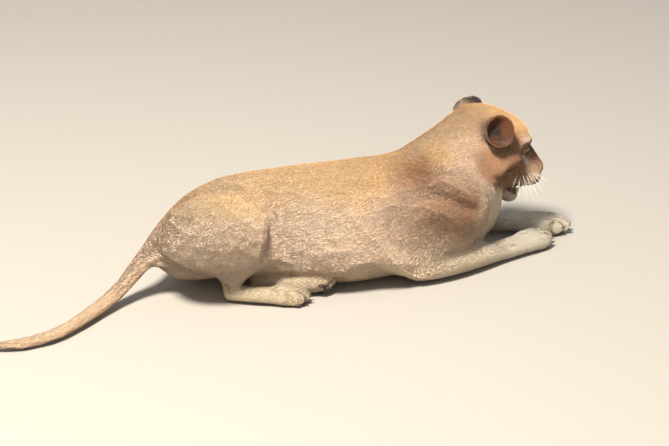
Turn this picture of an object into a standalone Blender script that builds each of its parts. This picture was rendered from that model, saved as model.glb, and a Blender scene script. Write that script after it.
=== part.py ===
"""A lioness lying down with her head raised: a still, life-size model, in metres.

+X runs from the rump to the head, +Y to her left and +Z up. She lies on z = 0.
Her body is made as a few whole masses of flesh, which thin cuts part into the
pieces that a person would name.
"""

import math

import bmesh
import bpy
import numpy as np
from mathutils import Euler, Matrix, Vector

# ------------------------------------------------ driving sizes, in metres and degrees
BACK_HEIGHT = 0.392          # the spine above the floor
HEAD_SIZE = 1.05             # scale of the head about its own centre
HEAD_CENTRE = (0.540, 0.060, 0.378)
HEAD_PITCH = 28.0            # nose below the horizontal
HEAD_YAW = 2.0                # turned to her left
HEAD_ROLL = 0.0
JAW_OPEN = 6.5
EYE_RADIUS = 0.0185
CHEST_MIDDLE = 0.035         # the breastbone is a little to her left
FOREPAW_HALF = 0.052         # half widths of the paws
HINDPAW_HALF = 0.044
LEFT_SOLE_TURN = -45.0       # the left hind foot lies on its outer edge
GAP = 0.0003                 # width of the cuts between neighbouring solids
CLEARANCE = 0.0006           # kept round a solid that another one rests against

# ------------------------------------------------ the pose: x, y, z of each joint
RIGHT_FORELEG = {"elbow": (0.215, -0.130, 0.058), "middle": (0.385, -0.108, 0.050),
                 "wrist": (0.560, -0.058, 0.037), "knuckle": (0.640, -0.030, 0.032),
                 "tip": (0.775, 0.012, 0.028)}
LEFT_FORELEG = {"elbow": (0.340, 0.178, 0.060), "middle": (0.515, 0.192, 0.052),
                "wrist": (0.660, 0.153, 0.038), "knuckle": (0.735, 0.130, 0.034),
                "tip": (0.875, 0.055, 0.028)}
RIGHT_HINDFOOT = {"heel": (-0.372, -0.030, 0.032), "middle": (-0.300, -0.074, 0.034),
                  "knuckle": (-0.238, -0.096, 0.030), "tip": (-0.132, -0.133, 0.027)}
LEFT_HINDFOOT = {"heel": (-0.275, -0.002, 0.040), "middle": (-0.220, -0.032, 0.042),
                 "knuckle": (-0.150, -0.058, 0.041), "tip": (-0.040, -0.097, 0.038)}
# the middle line of the tail, with its radius
TAIL_PATH = [(-0.560, 0.090, 0.178, 0.038), (-0.600, 0.090, 0.140, 0.036),
             (-0.645, 0.087, 0.088, 0.033),
             (-0.695, 0.070, 0.046, 0.031), (-0.760, 0.030, 0.029, 0.030),
             (-0.830, -0.030, 0.026, 0.028), (-0.900, -0.085, 0.025, 0.026),
             (-0.980, -0.118, 0.023, 0.024), (-1.060, -0.118, 0.021, 0.022),
             (-1.130, -0.098, 0.020, 0.020), (-1.190, -0.070, 0.022, 0.025),
             (-1.250, -0.035, 0.020, 0.027), (-1.300, 0.000, 0.014, 0.012)]
TAIL_CUTS = (("tail_middle", 4), ("tail_end", 7), ("tail_tuft", 9))
TAIL_ROOT_AT = 1             # the tail leaves the rump at this point of its path

# where the neck meets the head and the chest: a point and the way that a plane faces
HEAD_CUT = (Vector((0.465, 0.055, 0.365)), Vector((0.96, 0.0, 0.27)).normalized())
NECK_CUT = (Vector((0.440, 0.070, 0.335)), Vector((0.60, 0.08, 0.80)).normalized())

# ------------------------------------------------ fineness of the surfaces
LOFT_SIDES = 24
LOFT_STEPS = 4               # rings between two given sections
CUTTER_SIDES = 16
BODY_VOXEL = 0.0095
HEAD_VOXEL = 0.0058
EAR_VOXEL = 0.0040

SANDY = (0.50, 0.35, 0.20)
PALE = (0.68, 0.57, 0.42)
DARK = (0.05, 0.035, 0.03)
AMBER = (0.45, 0.24, 0.05)
PINK = (0.62, 0.30, 0.27)

FORWARD, UP = Vector((1, 0, 0)), Vector((0, 0, 1))


# ------------------------------------------------ scene and materials
def clear_scene():
    for thing in list(bpy.data.objects):
        bpy.data.objects.remove(thing, do_unlink=True)


def new_collection(name):
    group = bpy.data.collections.new(name)
    bpy.context.scene.collection.children.link(group)
    return group


def coat_material(name, colour, roughness=0.85):
    made = bpy.data.materials.new(name)
    made.use_nodes = True
    shader = made.node_tree.nodes["Principled BSDF"]
    shader.inputs["Base Color"].default_value = (*colour, 1.0)
    shader.inputs["Roughness"].default_value = roughness
    shader.inputs["Metallic"].default_value = 0.0
    return made


def mesh_object(name, mesh, group):
    thing = bpy.data.objects.new(name, mesh)
    group.objects.link(thing)
    return thing


def guide(thing):
    """A shape that only cuts or shapes others."""
    thing.hide_render = True
    thing.display_type = "WIRE"
    return thing


def shape_object(shape, name):
    """Turn a bmesh into a guide object with its faces pointing out."""
    bmesh.ops.recalc_face_normals(shape, faces=shape.faces)
    mesh = bpy.data.meshes.new(name)
    shape.to_mesh(mesh)
    shape.free()
    return guide(mesh_object(name, mesh, CUTTERS))


def applied_mesh(thing):
    graph = bpy.context.evaluated_depsgraph_get()
    return bpy.data.meshes.new_from_object(thing.evaluated_get(graph))


def bake_modifiers(thing):
    """Give an object its modified shape as plain mesh."""
    mesh = applied_mesh(thing)
    thing.modifiers.clear()
    thing.data = mesh
    return thing


# ------------------------------------------------ masses of flesh
def smooth_rows(stations, steps=LOFT_STEPS):
    """Catmull-Rom values through rows of numbers, first and last rows kept."""
    rows = np.array(stations, float)
    padded = np.vstack([2 * rows[0] - rows[1], rows, 2 * rows[-1] - rows[-2]])
    out = []
    for i in range(len(rows) - 1):
        before, start, end, after = padded[i:i + 4]
        for t in np.arange(steps) / steps:
            out.append(0.5 * (2 * start + (end - before) * t
                              + (2 * before - 5 * start + 4 * end - after) * t ** 2
                              + (3 * start - before - 3 * end + after) * t ** 3))
    out.append(rows[-1])
    return np.array(out)


def section(centre, side, up, half, above, below, power):
    """Points round one superellipse, flatter or rounder above and below its centre."""
    for k in range(LOFT_SIDES):
        angle = 2 * math.pi * k / LOFT_SIDES
        c, s = math.cos(angle), math.sin(angle)
        across = math.copysign(abs(c) ** (2 / power), c) * half
        rise = math.copysign(abs(s) ** (2 / power), s) * (above if s > 0 else below)
        yield centre + side * across + up * rise


def loft(shape, stations, side=(0, -1, 0), power=2.0, cap=0.6):
    """Add a closed tube; a station is x, y, z, half width, height above, height below."""
    rows = smooth_rows(stations)
    tangents = np.gradient(rows[:, :3], axis=0)
    dome = [(math.sin(a), math.cos(a)) for a in np.radians((25, 50, 72))]
    plan = [(rows[0], tangents[0], k, -j) for k, j in dome]
    plan += [(row, tangent, 1.0, 0.0) for row, tangent in zip(rows, tangents)]
    plan += [(rows[-1], tangents[-1], k, j) for k, j in reversed(dome)]
    rings = []
    for row, tangent, scale, ahead in plan:
        along = Vector(tangent).normalized()
        across = Vector(side)
        across = (across - along * across.dot(along)).normalized()
        rise = along.cross(across) if along.cross(across).z > 0 else across.cross(along)
        half, above, below = (max(v, 0.002) * scale for v in row[3:6])
        reach = ahead * cap * min(row[3], (row[4] + row[5]) / 2)
        centre = Vector(row[:3]) + along * reach
        ring = section(centre, across, rise, half, above, below, power)
        rings.append([shape.verts.new(point) for point in ring])
    for a, b in zip(rings, rings[1:]):
        for k in range(LOFT_SIDES):
            n = (k + 1) % LOFT_SIDES
            shape.faces.new((a[k], a[n], b[n], b[k]))
    shape.faces.new(rings[0][::-1])
    shape.faces.new(rings[-1])


def egg(shape, centre, radii, turn=(0, 0, 0), segments=24):
    """Add an egg of muscle or bone; turn is its rotation about X, Y and Z in degrees."""
    spin = Euler([math.radians(a) for a in turn])
    place = Matrix.LocRotScale(Vector(centre), spin, Vector(radii))
    bmesh.ops.create_uvsphere(shape, u_segments=segments, v_segments=segments * 5 // 8,
                              radius=1.0, matrix=place)


def egg_cutter(centre, radii, turn=(0, 0, 0)):
    shape = bmesh.new()
    egg(shape, centre, radii, turn, segments=CUTTER_SIDES)
    return shape


def knead(thing, dents):
    """Push the skin in or out: each dent is centre, radius, and a move along X, Y and Z."""
    count = len(thing.data.vertices)
    flat = np.empty(count * 3)
    thing.data.vertices.foreach_get("co", flat)
    points = flat.reshape(count, 3)
    for centre, radius, move in dents:
        distance = np.linalg.norm(points - np.array(centre), axis=1) / radius
        weight = np.clip(1 - distance ** 2, 0, 1) ** 2
        points += weight[:, None] * np.array(move)
    thing.data.vertices.foreach_set("co", points.ravel())
    thing.data.update()


def flesh(name, shape, voxel, rounds, triangles, dents=()):
    """Join closed shapes into one soft skin, knead it, and thin it to about so many triangles."""
    thing = shape_object(shape, name)
    remesh = thing.modifiers.new("join", "REMESH")
    remesh.mode = "VOXEL"
    remesh.voxel_size = voxel
    soften = thing.modifiers.new("soften", "SMOOTH")
    soften.factor = 0.5
    soften.iterations = rounds
    bake_modifiers(thing)
    if dents:
        knead(thing, dents)
    faces = sum(len(p.vertices) - 2 for p in thing.data.polygons)
    thin = thing.modifiers.new("thin", "DECIMATE")
    thin.ratio = min(1.0, triangles / faces)
    thin.use_collapse_triangulate = True
    return bake_modifiers(thing)


# ------------------------------------------------ cutting
def boolean(thing, cutter, operation):
    cut = thing.modifiers.new("cut", "BOOLEAN")
    cut.solver = "EXACT"
    cut.operation = operation
    cut.object = cutter
    return bake_modifiers(thing)


def copy_of(thing, name, swell=0.0):
    """A guide copy of a solid, grown all round by swell."""
    made = guide(mesh_object(name, thing.data.copy(), CUTTERS))
    if swell:
        grow = made.modifiers.new("grow", "DISPLACE")
        grow.mid_level = 0.0
        grow.strength = swell
        bake_modifiers(made)
    return made


def half_space(point, normal):
    """A big box with one face at the point, reaching out along the normal."""
    size = 3.0
    shape = bmesh.new()
    turn = Vector(normal).to_track_quat("Z", "Y").to_matrix().to_4x4()
    place = Matrix.Translation(Vector(point)) @ turn @ Matrix.Translation((0, 0, size / 2))
    bmesh.ops.create_cube(shape, size=size, matrix=place)
    return shape_object(shape, "half_space")


def largest_piece(thing):
    """Drop the loose crumbs that a cut may leave."""
    shape = bmesh.new()
    shape.from_mesh(thing.data)
    left = set(shape.verts)
    pieces = []
    while left:
        queue = [left.pop()]
        piece = list(queue)
        while queue:
            vertex = queue.pop()
            for edge in vertex.link_edges:
                other = edge.other_vert(vertex)
                if other in left:
                    left.remove(other)
                    piece.append(other)
                    queue.append(other)
        pieces.append(piece)
    pieces.sort(key=len)
    for crumb in pieces[:-1]:
        bmesh.ops.delete(shape, geom=crumb, context="VERTS")
    shape.to_mesh(thing.data)
    shape.free()
    return thing


def split(whole, name, cutter_shape):
    """Cut the part inside a cutter away from the whole, leaving a thin gap; returns it."""
    cutter = shape_object(cutter_shape, name + "_cutter")
    piece = boolean(copy_of(whole, name), cutter, "INTERSECT")
    boolean(whole, copy_of(cutter, name + "_gap", GAP), "DIFFERENCE")
    return largest_piece(piece)


def split_plane(whole, name, point, normal):
    """Cut off all that lies beyond a plane, leaving a thin gap; returns it."""
    piece = boolean(copy_of(whole, name), half_space(point, normal), "INTERSECT")
    inset = Vector(point) - Vector(normal).normalized() * GAP
    boolean(whole, half_space(inset, normal), "DIFFERENCE")
    return largest_piece(piece)


def clear_of(thing, *others):
    """Cut away what would run into solids that are already there."""
    for other in others:
        boolean(thing, copy_of(other, "clearance", CLEARANCE), "DIFFERENCE")
        boolean(thing, other, "DIFFERENCE")
    return largest_piece(thing)


def on_floor(thing):
    return boolean(thing, half_space((0, 0, 0), (0, 0, -1)), "DIFFERENCE")


def finish(thing, name, surface):
    """Make a guide into a named solid of the model."""
    thing.name = name
    thing.data.name = name
    thing.hide_render = False
    thing.display_type = "TEXTURED"
    CUTTERS.objects.unlink(thing)
    LIONESS.objects.link(thing)
    shape = bmesh.new()
    shape.from_mesh(thing.data)
    bmesh.ops.remove_doubles(shape, verts=shape.verts, dist=1e-5)
    bmesh.ops.triangulate(shape, faces=shape.faces)
    shape.to_mesh(thing.data)
    shape.free()
    thing.data.materials.clear()
    thing.data.materials.append(surface)
    thing.data.shade_smooth()
    return thing


# ------------------------------------------------ the head's own frame
HEAD_TURN = Euler([math.radians(a) for a in (HEAD_ROLL, HEAD_PITCH, HEAD_YAW)]).to_matrix().to_4x4()
HEAD_FRAME = Matrix.Translation(HEAD_CENTRE) @ HEAD_TURN @ Matrix.Scale(HEAD_SIZE, 4)
JAW_HINGE = Vector((0.0, 0.0, -0.045))
JAW_TURN = Matrix.Rotation(math.radians(JAW_OPEN), 4, "Y")
JAW_FRAME = HEAD_FRAME @ Matrix.Translation(JAW_HINGE) @ JAW_TURN @ Matrix.Translation(-JAW_HINGE)
EYE_PLACE = (0.113, 0.047, 0.037)


def place(shape, frame):
    bmesh.ops.transform(shape, matrix=frame, verts=shape.verts)
    return shape


def both_sides(point):
    return [(side, (point[0], side * point[1], point[2])) for side in (-1, 1)]


def head_shape():
    shape = bmesh.new()
    loft(shape, [(-0.125, 0, -0.010, 0.078, 0.056, 0.095),
                 (-0.085, 0, 0.000, 0.092, 0.088, 0.105),
                 (-0.040, 0, 0.005, 0.098, 0.108, 0.110),
                 (0.020, 0, 0.008, 0.098, 0.110, 0.108),
                 (0.070, 0, 0.004, 0.086, 0.101, 0.098),
                 (0.105, 0, -0.004, 0.071, 0.087, 0.080),
                 (0.145, 0, -0.010, 0.058, 0.062, 0.062),
                 (0.185, 0, -0.016, 0.050, 0.050, 0.051),
                 (0.215, 0, -0.022, 0.040, 0.040, 0.043)], power=2.3)
    loft(shape, [(0.095, 0, 0.056, 0.036, 0.026, 0.030),
                 (0.150, 0, 0.033, 0.026, 0.022, 0.030),
                 (0.220, 0, 0.002, 0.023, 0.017, 0.020)], power=2.6)
    egg(shape, (0.050, 0, 0.081), (0.078, 0.062, 0.036))
    egg(shape, (0.226, 0, -0.008), (0.017, 0.027, 0.018))
    egg(shape, (0.210, 0, -0.036), (0.024, 0.030, 0.031))
    egg(shape, (-0.020, 0, -0.080), (0.090, 0.078, 0.052))
    for side, point in both_sides((0.187, 0.033, -0.039)):
        egg(shape, point, (0.046, 0.029, 0.032))
    for side, point in both_sides((0.150, 0.049, -0.062)):
        egg(shape, point, (0.038, 0.012, 0.022))
    for side, point in both_sides((0.122, 0.052, -0.077)):
        egg(shape, point, (0.028, 0.013, 0.028))
    for side, point in both_sides((0.100, 0.041, 0.066)):
        egg(shape, point, (0.042, 0.031, 0.021), (0, 20, -22 * side))
    for side, point in both_sides((0.052, 0.077, -0.010)):
        egg(shape, point, (0.068, 0.036, 0.044), (0, 0, -20 * side))
    for side, point in both_sides((0.005, 0.080, -0.055)):
        egg(shape, point, (0.072, 0.042, 0.066))
    return place(shape, HEAD_FRAME)


def head_dents():
    """Hollows for the eyes, beside the nose and below the cheekbones."""
    dents = []
    for point, radius, move in (
            ((0.132, 0.056, 0.036), 0.030, (-0.013, -0.007, 0.001)),
            ((0.112, 0.070, 0.030), 0.026, (-0.006, -0.007, 0.000)),
            ((0.165, 0.046, 0.016), 0.034, (-0.002, -0.005, 0.000)),
            ((0.128, 0.062, -0.030), 0.036, (0.000, -0.006, 0.000))):
        for side, spot in both_sides(point):
            centre = HEAD_FRAME @ Vector(spot)
            push = HEAD_FRAME.to_3x3() @ Vector((move[0], side * move[1], move[2]))
            dents.append((centre, radius * HEAD_SIZE, push))
    return dents


def jaw_shape():
    """Lower jaw, with the corners of the mouth on both sides."""
    shape = bmesh.new()
    loft(shape, [(0.000, 0, -0.103, 0.070, 0.034, 0.034),
                 (0.070, 0, -0.101, 0.056, 0.030, 0.032),
                 (0.130, 0, -0.099, 0.045, 0.026, 0.030),
                 (0.172, 0, -0.096, 0.039, 0.022, 0.031),
                 (0.196, 0, -0.093, 0.030, 0.018, 0.026)], power=2.4)
    egg(shape, (0.180, 0, -0.102), (0.031, 0.036, 0.028))
    for side, point in both_sides((0.070, 0.047, -0.078)):
        egg(shape, point, (0.058, 0.019, 0.032))
    return place(shape, JAW_FRAME)


def tongue_shape():
    shape = bmesh.new()
    loft(shape, [(0.095, 0, -0.076, 0.028, 0.009, 0.012),
                 (0.120, 0, -0.074, 0.027, 0.009, 0.014),
                 (0.155, 0, -0.073, 0.023, 0.008, 0.014),
                 (0.176, 0, -0.074, 0.016, 0.006, 0.010)])
    return place(shape, JAW_FRAME)


def eye_shape(side):
    shape = bmesh.new()
    centre = HEAD_FRAME @ Vector((EYE_PLACE[0], side * EYE_PLACE[1], EYE_PLACE[2]))
    bmesh.ops.create_uvsphere(shape, u_segments=12, v_segments=8, radius=EYE_RADIUS,
                              matrix=Matrix.Translation(centre))
    return shape


def canine_shape(side, upper):
    """A fang with its root in the gum."""
    shape = bmesh.new()
    if upper:
        root, tip, frame = (0.182, 0.029 * side, -0.056), (0.177, 0.029 * side, -0.094), HEAD_FRAME
    else:
        root, tip, frame = (0.190, 0.021 * side, -0.088), (0.187, 0.023 * side, -0.053), JAW_FRAME
    axis = Vector(tip) - Vector(root)
    turn = axis.to_track_quat("Z", "Y").to_matrix().to_4x4()
    middle = Matrix.Translation((Vector(root) + Vector(tip)) / 2)
    bmesh.ops.create_cone(shape, cap_ends=True, segments=8, radius1=0.0070, radius2=0.0012,
                          depth=axis.length, matrix=frame @ middle @ turn)
    return shape


def ear_shape(side):
    """A round cup, open to the side, on a short root."""
    cup = bmesh.new()
    bmesh.ops.create_uvsphere(cup, u_segments=24, v_segments=14, radius=1.0)
    bmesh.ops.bisect_plane(cup, geom=cup.verts[:] + cup.edges[:] + cup.faces[:],
                           plane_co=(0, 0, 0.15), plane_no=(0, 0, 1), clear_outer=True)
    outward = Vector((-0.10, 0.86 * side, 0.35)).normalized()
    tip = Vector((-0.12, 0.30 * side, 1.0))
    tip = (tip - outward * tip.dot(outward)).normalized()
    across = tip.cross(outward)
    axes = Matrix((across, tip, outward)).transposed().to_4x4()
    size = Matrix.Diagonal((0.055, 0.053, 0.040, 1.0))
    ear_place = Matrix.Translation((-0.038, 0.112 * side, 0.064))
    place(cup, HEAD_FRAME @ ear_place @ axes @ size)
    thing = shape_object(cup, "ear_cup")
    wall = thing.modifiers.new("wall", "SOLIDIFY")
    wall.thickness = 0.010
    wall.offset = -1.0
    wall.use_even_offset = True
    shell = applied_mesh(thing)
    bpy.data.objects.remove(thing, do_unlink=True)
    shape = bmesh.new()
    loft(shape, [(-0.028, 0.060 * side, 0.040, 0.034, 0.036, 0.032),
                 (-0.036, 0.084 * side, 0.052, 0.029, 0.033, 0.028)], side=(1, 0, 0), cap=0.3)
    place(shape, HEAD_FRAME)
    shape.from_mesh(shell)
    return shape


# ------------------------------------------------ the body
def trunk_shape(shape):
    """Rump to chest, resting on the belly."""
    top = BACK_HEIGHT
    loft(shape, [(-0.560, 0.100, 0.165, 0.060, 0.055, 0.070),
                 (-0.520, 0.105, 0.165, 0.090, 0.095, 0.120),
                 (-0.460, 0.108, 0.165, 0.115, top - 0.240, 0.130),
                 (-0.380, 0.095, 0.168, 0.130, top - 0.195, 0.128),
                 (-0.280, 0.070, 0.170, 0.150, top - 0.174, 0.122),
                 (-0.180, 0.056, 0.170, 0.168, top - 0.172, 0.120),
                 (-0.090, 0.046, 0.169, 0.190, top - 0.170, 0.138),
                 (0.000, 0.036, 0.168, 0.202, top - 0.168, 0.172),
                 (0.120, 0.030, 0.168, 0.200, top - 0.168, 0.178),
                 (0.240, 0.030, 0.175, 0.184, top - 0.174, 0.182),
                 (0.360, 0.030, 0.182, 0.165, 0.205, 0.182),
                 (0.450, 0.030, 0.185, 0.140, 0.190, 0.178),
                 (0.515, 0.030, 0.180, 0.105, 0.150, 0.160),
                 (0.550, 0.030, 0.172, 0.070, 0.100, 0.130)], power=2.05)


def neck_shape(shape):
    """Withers to skull."""
    loft(shape, [(0.240, 0.035, 0.230, 0.120, 0.130, 0.120),
                 (0.320, 0.040, 0.265, 0.128, 0.144, 0.140),
                 (0.400, 0.047, 0.310, 0.122, 0.145, 0.150),
                 (0.470, 0.055, 0.352, 0.112, 0.142, 0.150),
                 (0.530, 0.060, 0.388, 0.100, 0.124, 0.135),
                 (0.570, 0.060, 0.400, 0.085, 0.090, 0.110)])


def throat_shape(shape):
    loft(shape, [(0.500, 0.040, 0.120, 0.070, 0.060, 0.060),
                 (0.512, 0.046, 0.200, 0.075, 0.060, 0.068),
                 (0.520, 0.054, 0.280, 0.070, 0.058, 0.060)])


def hind_quarters(shape):
    """Hips rolled on to the left haunch, with the right thigh raised over it."""
    egg(shape, (-0.411, -0.022, 0.238), (0.178, 0.114, 0.138), (14, 8, 0))
    egg(shape, (-0.345, -0.058, 0.228), (0.100, 0.086, 0.128), (12, -12, 0))
    egg(shape, (-0.495, 0.005, 0.225), (0.100, 0.085, 0.088), (8, 20, 0))
    loft(shape, [(-0.275, -0.070, 0.185, 0.055, 0.070, 0.050),
                 (-0.325, -0.070, 0.125, 0.040, 0.045, 0.036),
                 (-0.362, -0.050, 0.075, 0.024, 0.030, 0.028)])
    egg(shape, (-0.300, 0.045, 0.370), (0.060, 0.050, 0.022), (0, -4, 0))
    egg(shape, (-0.390, 0.165, 0.125), (0.170, 0.095, 0.130), (-10, 0, 0))
    egg(shape, (-0.235, 0.165, 0.085), (0.120, 0.075, 0.085), (0, 0, -10))


def heel_cord(shape):
    """The tendon from the right hock up to the thigh."""
    loft(shape, [(-0.386, -0.020, 0.050, 0.013, 0.015, 0.015),
                 (-0.388, -0.022, 0.090, 0.009, 0.010, 0.010),
                 (-0.378, -0.030, 0.140, 0.014, 0.016, 0.016)])


def shoulder_shape(shape, side, ahead, elbow_ahead):
    """Blade, point of the shoulder, upper arm and elbow."""
    x, y, elbow = ahead, CHEST_MIDDLE, elbow_ahead
    egg(shape, (0.335 + x, y + side * 0.084, 0.290), (0.110, 0.052, 0.112), (-18 * side, -32, 0))
    egg(shape, (0.300 + x, y + side * 0.056, 0.372), (0.055, 0.034, 0.030), (-20 * side, -20, 0))
    egg(shape, (0.440 + x, y + side * 0.108, 0.200), (0.068, 0.052, 0.080))
    egg(shape, (0.345 + x, y + side * 0.142, 0.165), (0.115, 0.050, 0.085), (0, 28, 0))
    loft(shape, [(0.350 + x, y + side * 0.150, 0.140, 0.045, 0.070, 0.055),
                 (0.320 + elbow / 2, y + side * 0.156, 0.112, 0.044, 0.056, 0.050),
                 (0.285 + elbow, y + side * 0.160, 0.080, 0.040, 0.052, 0.052)])


def elbow_fold(shape):
    """Loose skin from the flank down to the right elbow."""
    loft(shape, [(0.020, -0.130, 0.205, 0.028, 0.040, 0.050),
                 (0.085, -0.142, 0.155, 0.030, 0.034, 0.050),
                 (0.150, -0.148, 0.105, 0.034, 0.030, 0.048),
                 (0.190, -0.145, 0.080, 0.034, 0.034, 0.044)])


def tail_root(shape):
    loft(shape, [(-0.480, 0.085, 0.215, 0.050, 0.050, 0.050),
                 (-0.540, 0.088, 0.190, 0.044, 0.042, 0.044),
                 (-0.590, 0.090, 0.150, 0.037, 0.036, 0.037),
                 (-0.620, 0.089, 0.118, 0.035, 0.034, 0.035)])


def tail_block():
    """A block round the tail, with one face across its root."""
    before, root, after = (Vector(TAIL_PATH[TAIL_ROOT_AT + k][:3]) for k in (-1, 0, 1))
    along = (after - before).normalized()
    width, length = 0.110, 0.160
    turn = along.to_track_quat("Z", "Y").to_matrix().to_4x4()
    size = Matrix.Diagonal((width, width, length, 1.0))
    shape = bmesh.new()
    middle = Matrix.Translation(root + along * length / 2)
    bmesh.ops.create_cube(shape, size=1.0, matrix=middle @ turn @ size)
    return shape_object(shape, "tail_block"), root, along


def body_dents():
    """Creases before the right thigh and under it, and the dips behind the shoulders."""
    return [((-0.215, -0.130, 0.200), 0.080, (0, 0.026, 0)),
            ((-0.200, -0.120, 0.120), 0.075, (0, 0.024, 0)),
            ((0.160, -0.165, 0.245), 0.085, (0, 0.030, 0)),
            ((0.070, -0.175, 0.060), 0.070, (0, 0.014, 0)),
            ((0.190, 0.225, 0.230), 0.100, (0, -0.012, 0))]


def paw(shape, knuckle, tip, half_width, roll=0.0):
    """Four toes side by side over their pads; roll tips the sole to one side."""
    start, end = Vector(knuckle), Vector(tip)
    along = (end - start).normalized()
    length = (end - start).length
    heading = math.degrees(math.atan2(along.y, along.x))
    across = Matrix.Rotation(math.radians(roll), 3, along) @ along.cross(UP).normalized()
    rise = across.cross(along).normalized()
    egg(shape, start + along * length * 0.30 + rise * 0.003,
        (length * 0.52, half_width * 0.96, 0.036), (roll, 0, heading))
    for offset, reach in ((-0.66, 0.60), (-0.22, 0.74), (0.22, 0.74), (0.66, 0.60)):
        toe = start + along * length * reach + across * half_width * offset
        egg(shape, toe, (length * 0.30, half_width * 0.29, 0.027), (roll, 0, heading + 8 * offset))
        knuckle_top = toe - along * length * 0.08 + rise * 0.014
        egg(shape, knuckle_top, (length * 0.17, half_width * 0.23, 0.018), (roll, 0, heading))


def foreleg_shape(elbow, middle, wrist, knuckle, tip):
    """Forearm, wrist and paw along the floor."""
    shape = bmesh.new()
    loft(shape, [(*elbow, 0.045, 0.050, 0.050),
                 (*middle, 0.045, 0.047, 0.044),
                 (*wrist, 0.037, 0.034, 0.034),
                 (*knuckle, 0.045, 0.032, 0.032)], cap=0.5)
    paw(shape, knuckle, tip, FOREPAW_HALF)
    return shape


def hindfoot_shape(heel, middle, knuckle, tip, roll):
    """Hock, long metatarsus and toes."""
    shape = bmesh.new()
    loft(shape, [(*heel, 0.022, 0.026, 0.028),
                 (*middle, 0.025, 0.028, 0.028),
                 (*knuckle, 0.033, 0.028, 0.028)], cap=0.7)
    paw(shape, knuckle, tip, HINDPAW_HALF, roll)
    return shape


def tail_shape():
    shape = bmesh.new()
    loft(shape, [(x, y, z, r, r, r) for x, y, z, r in TAIL_PATH], cap=0.8)
    return shape


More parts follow.
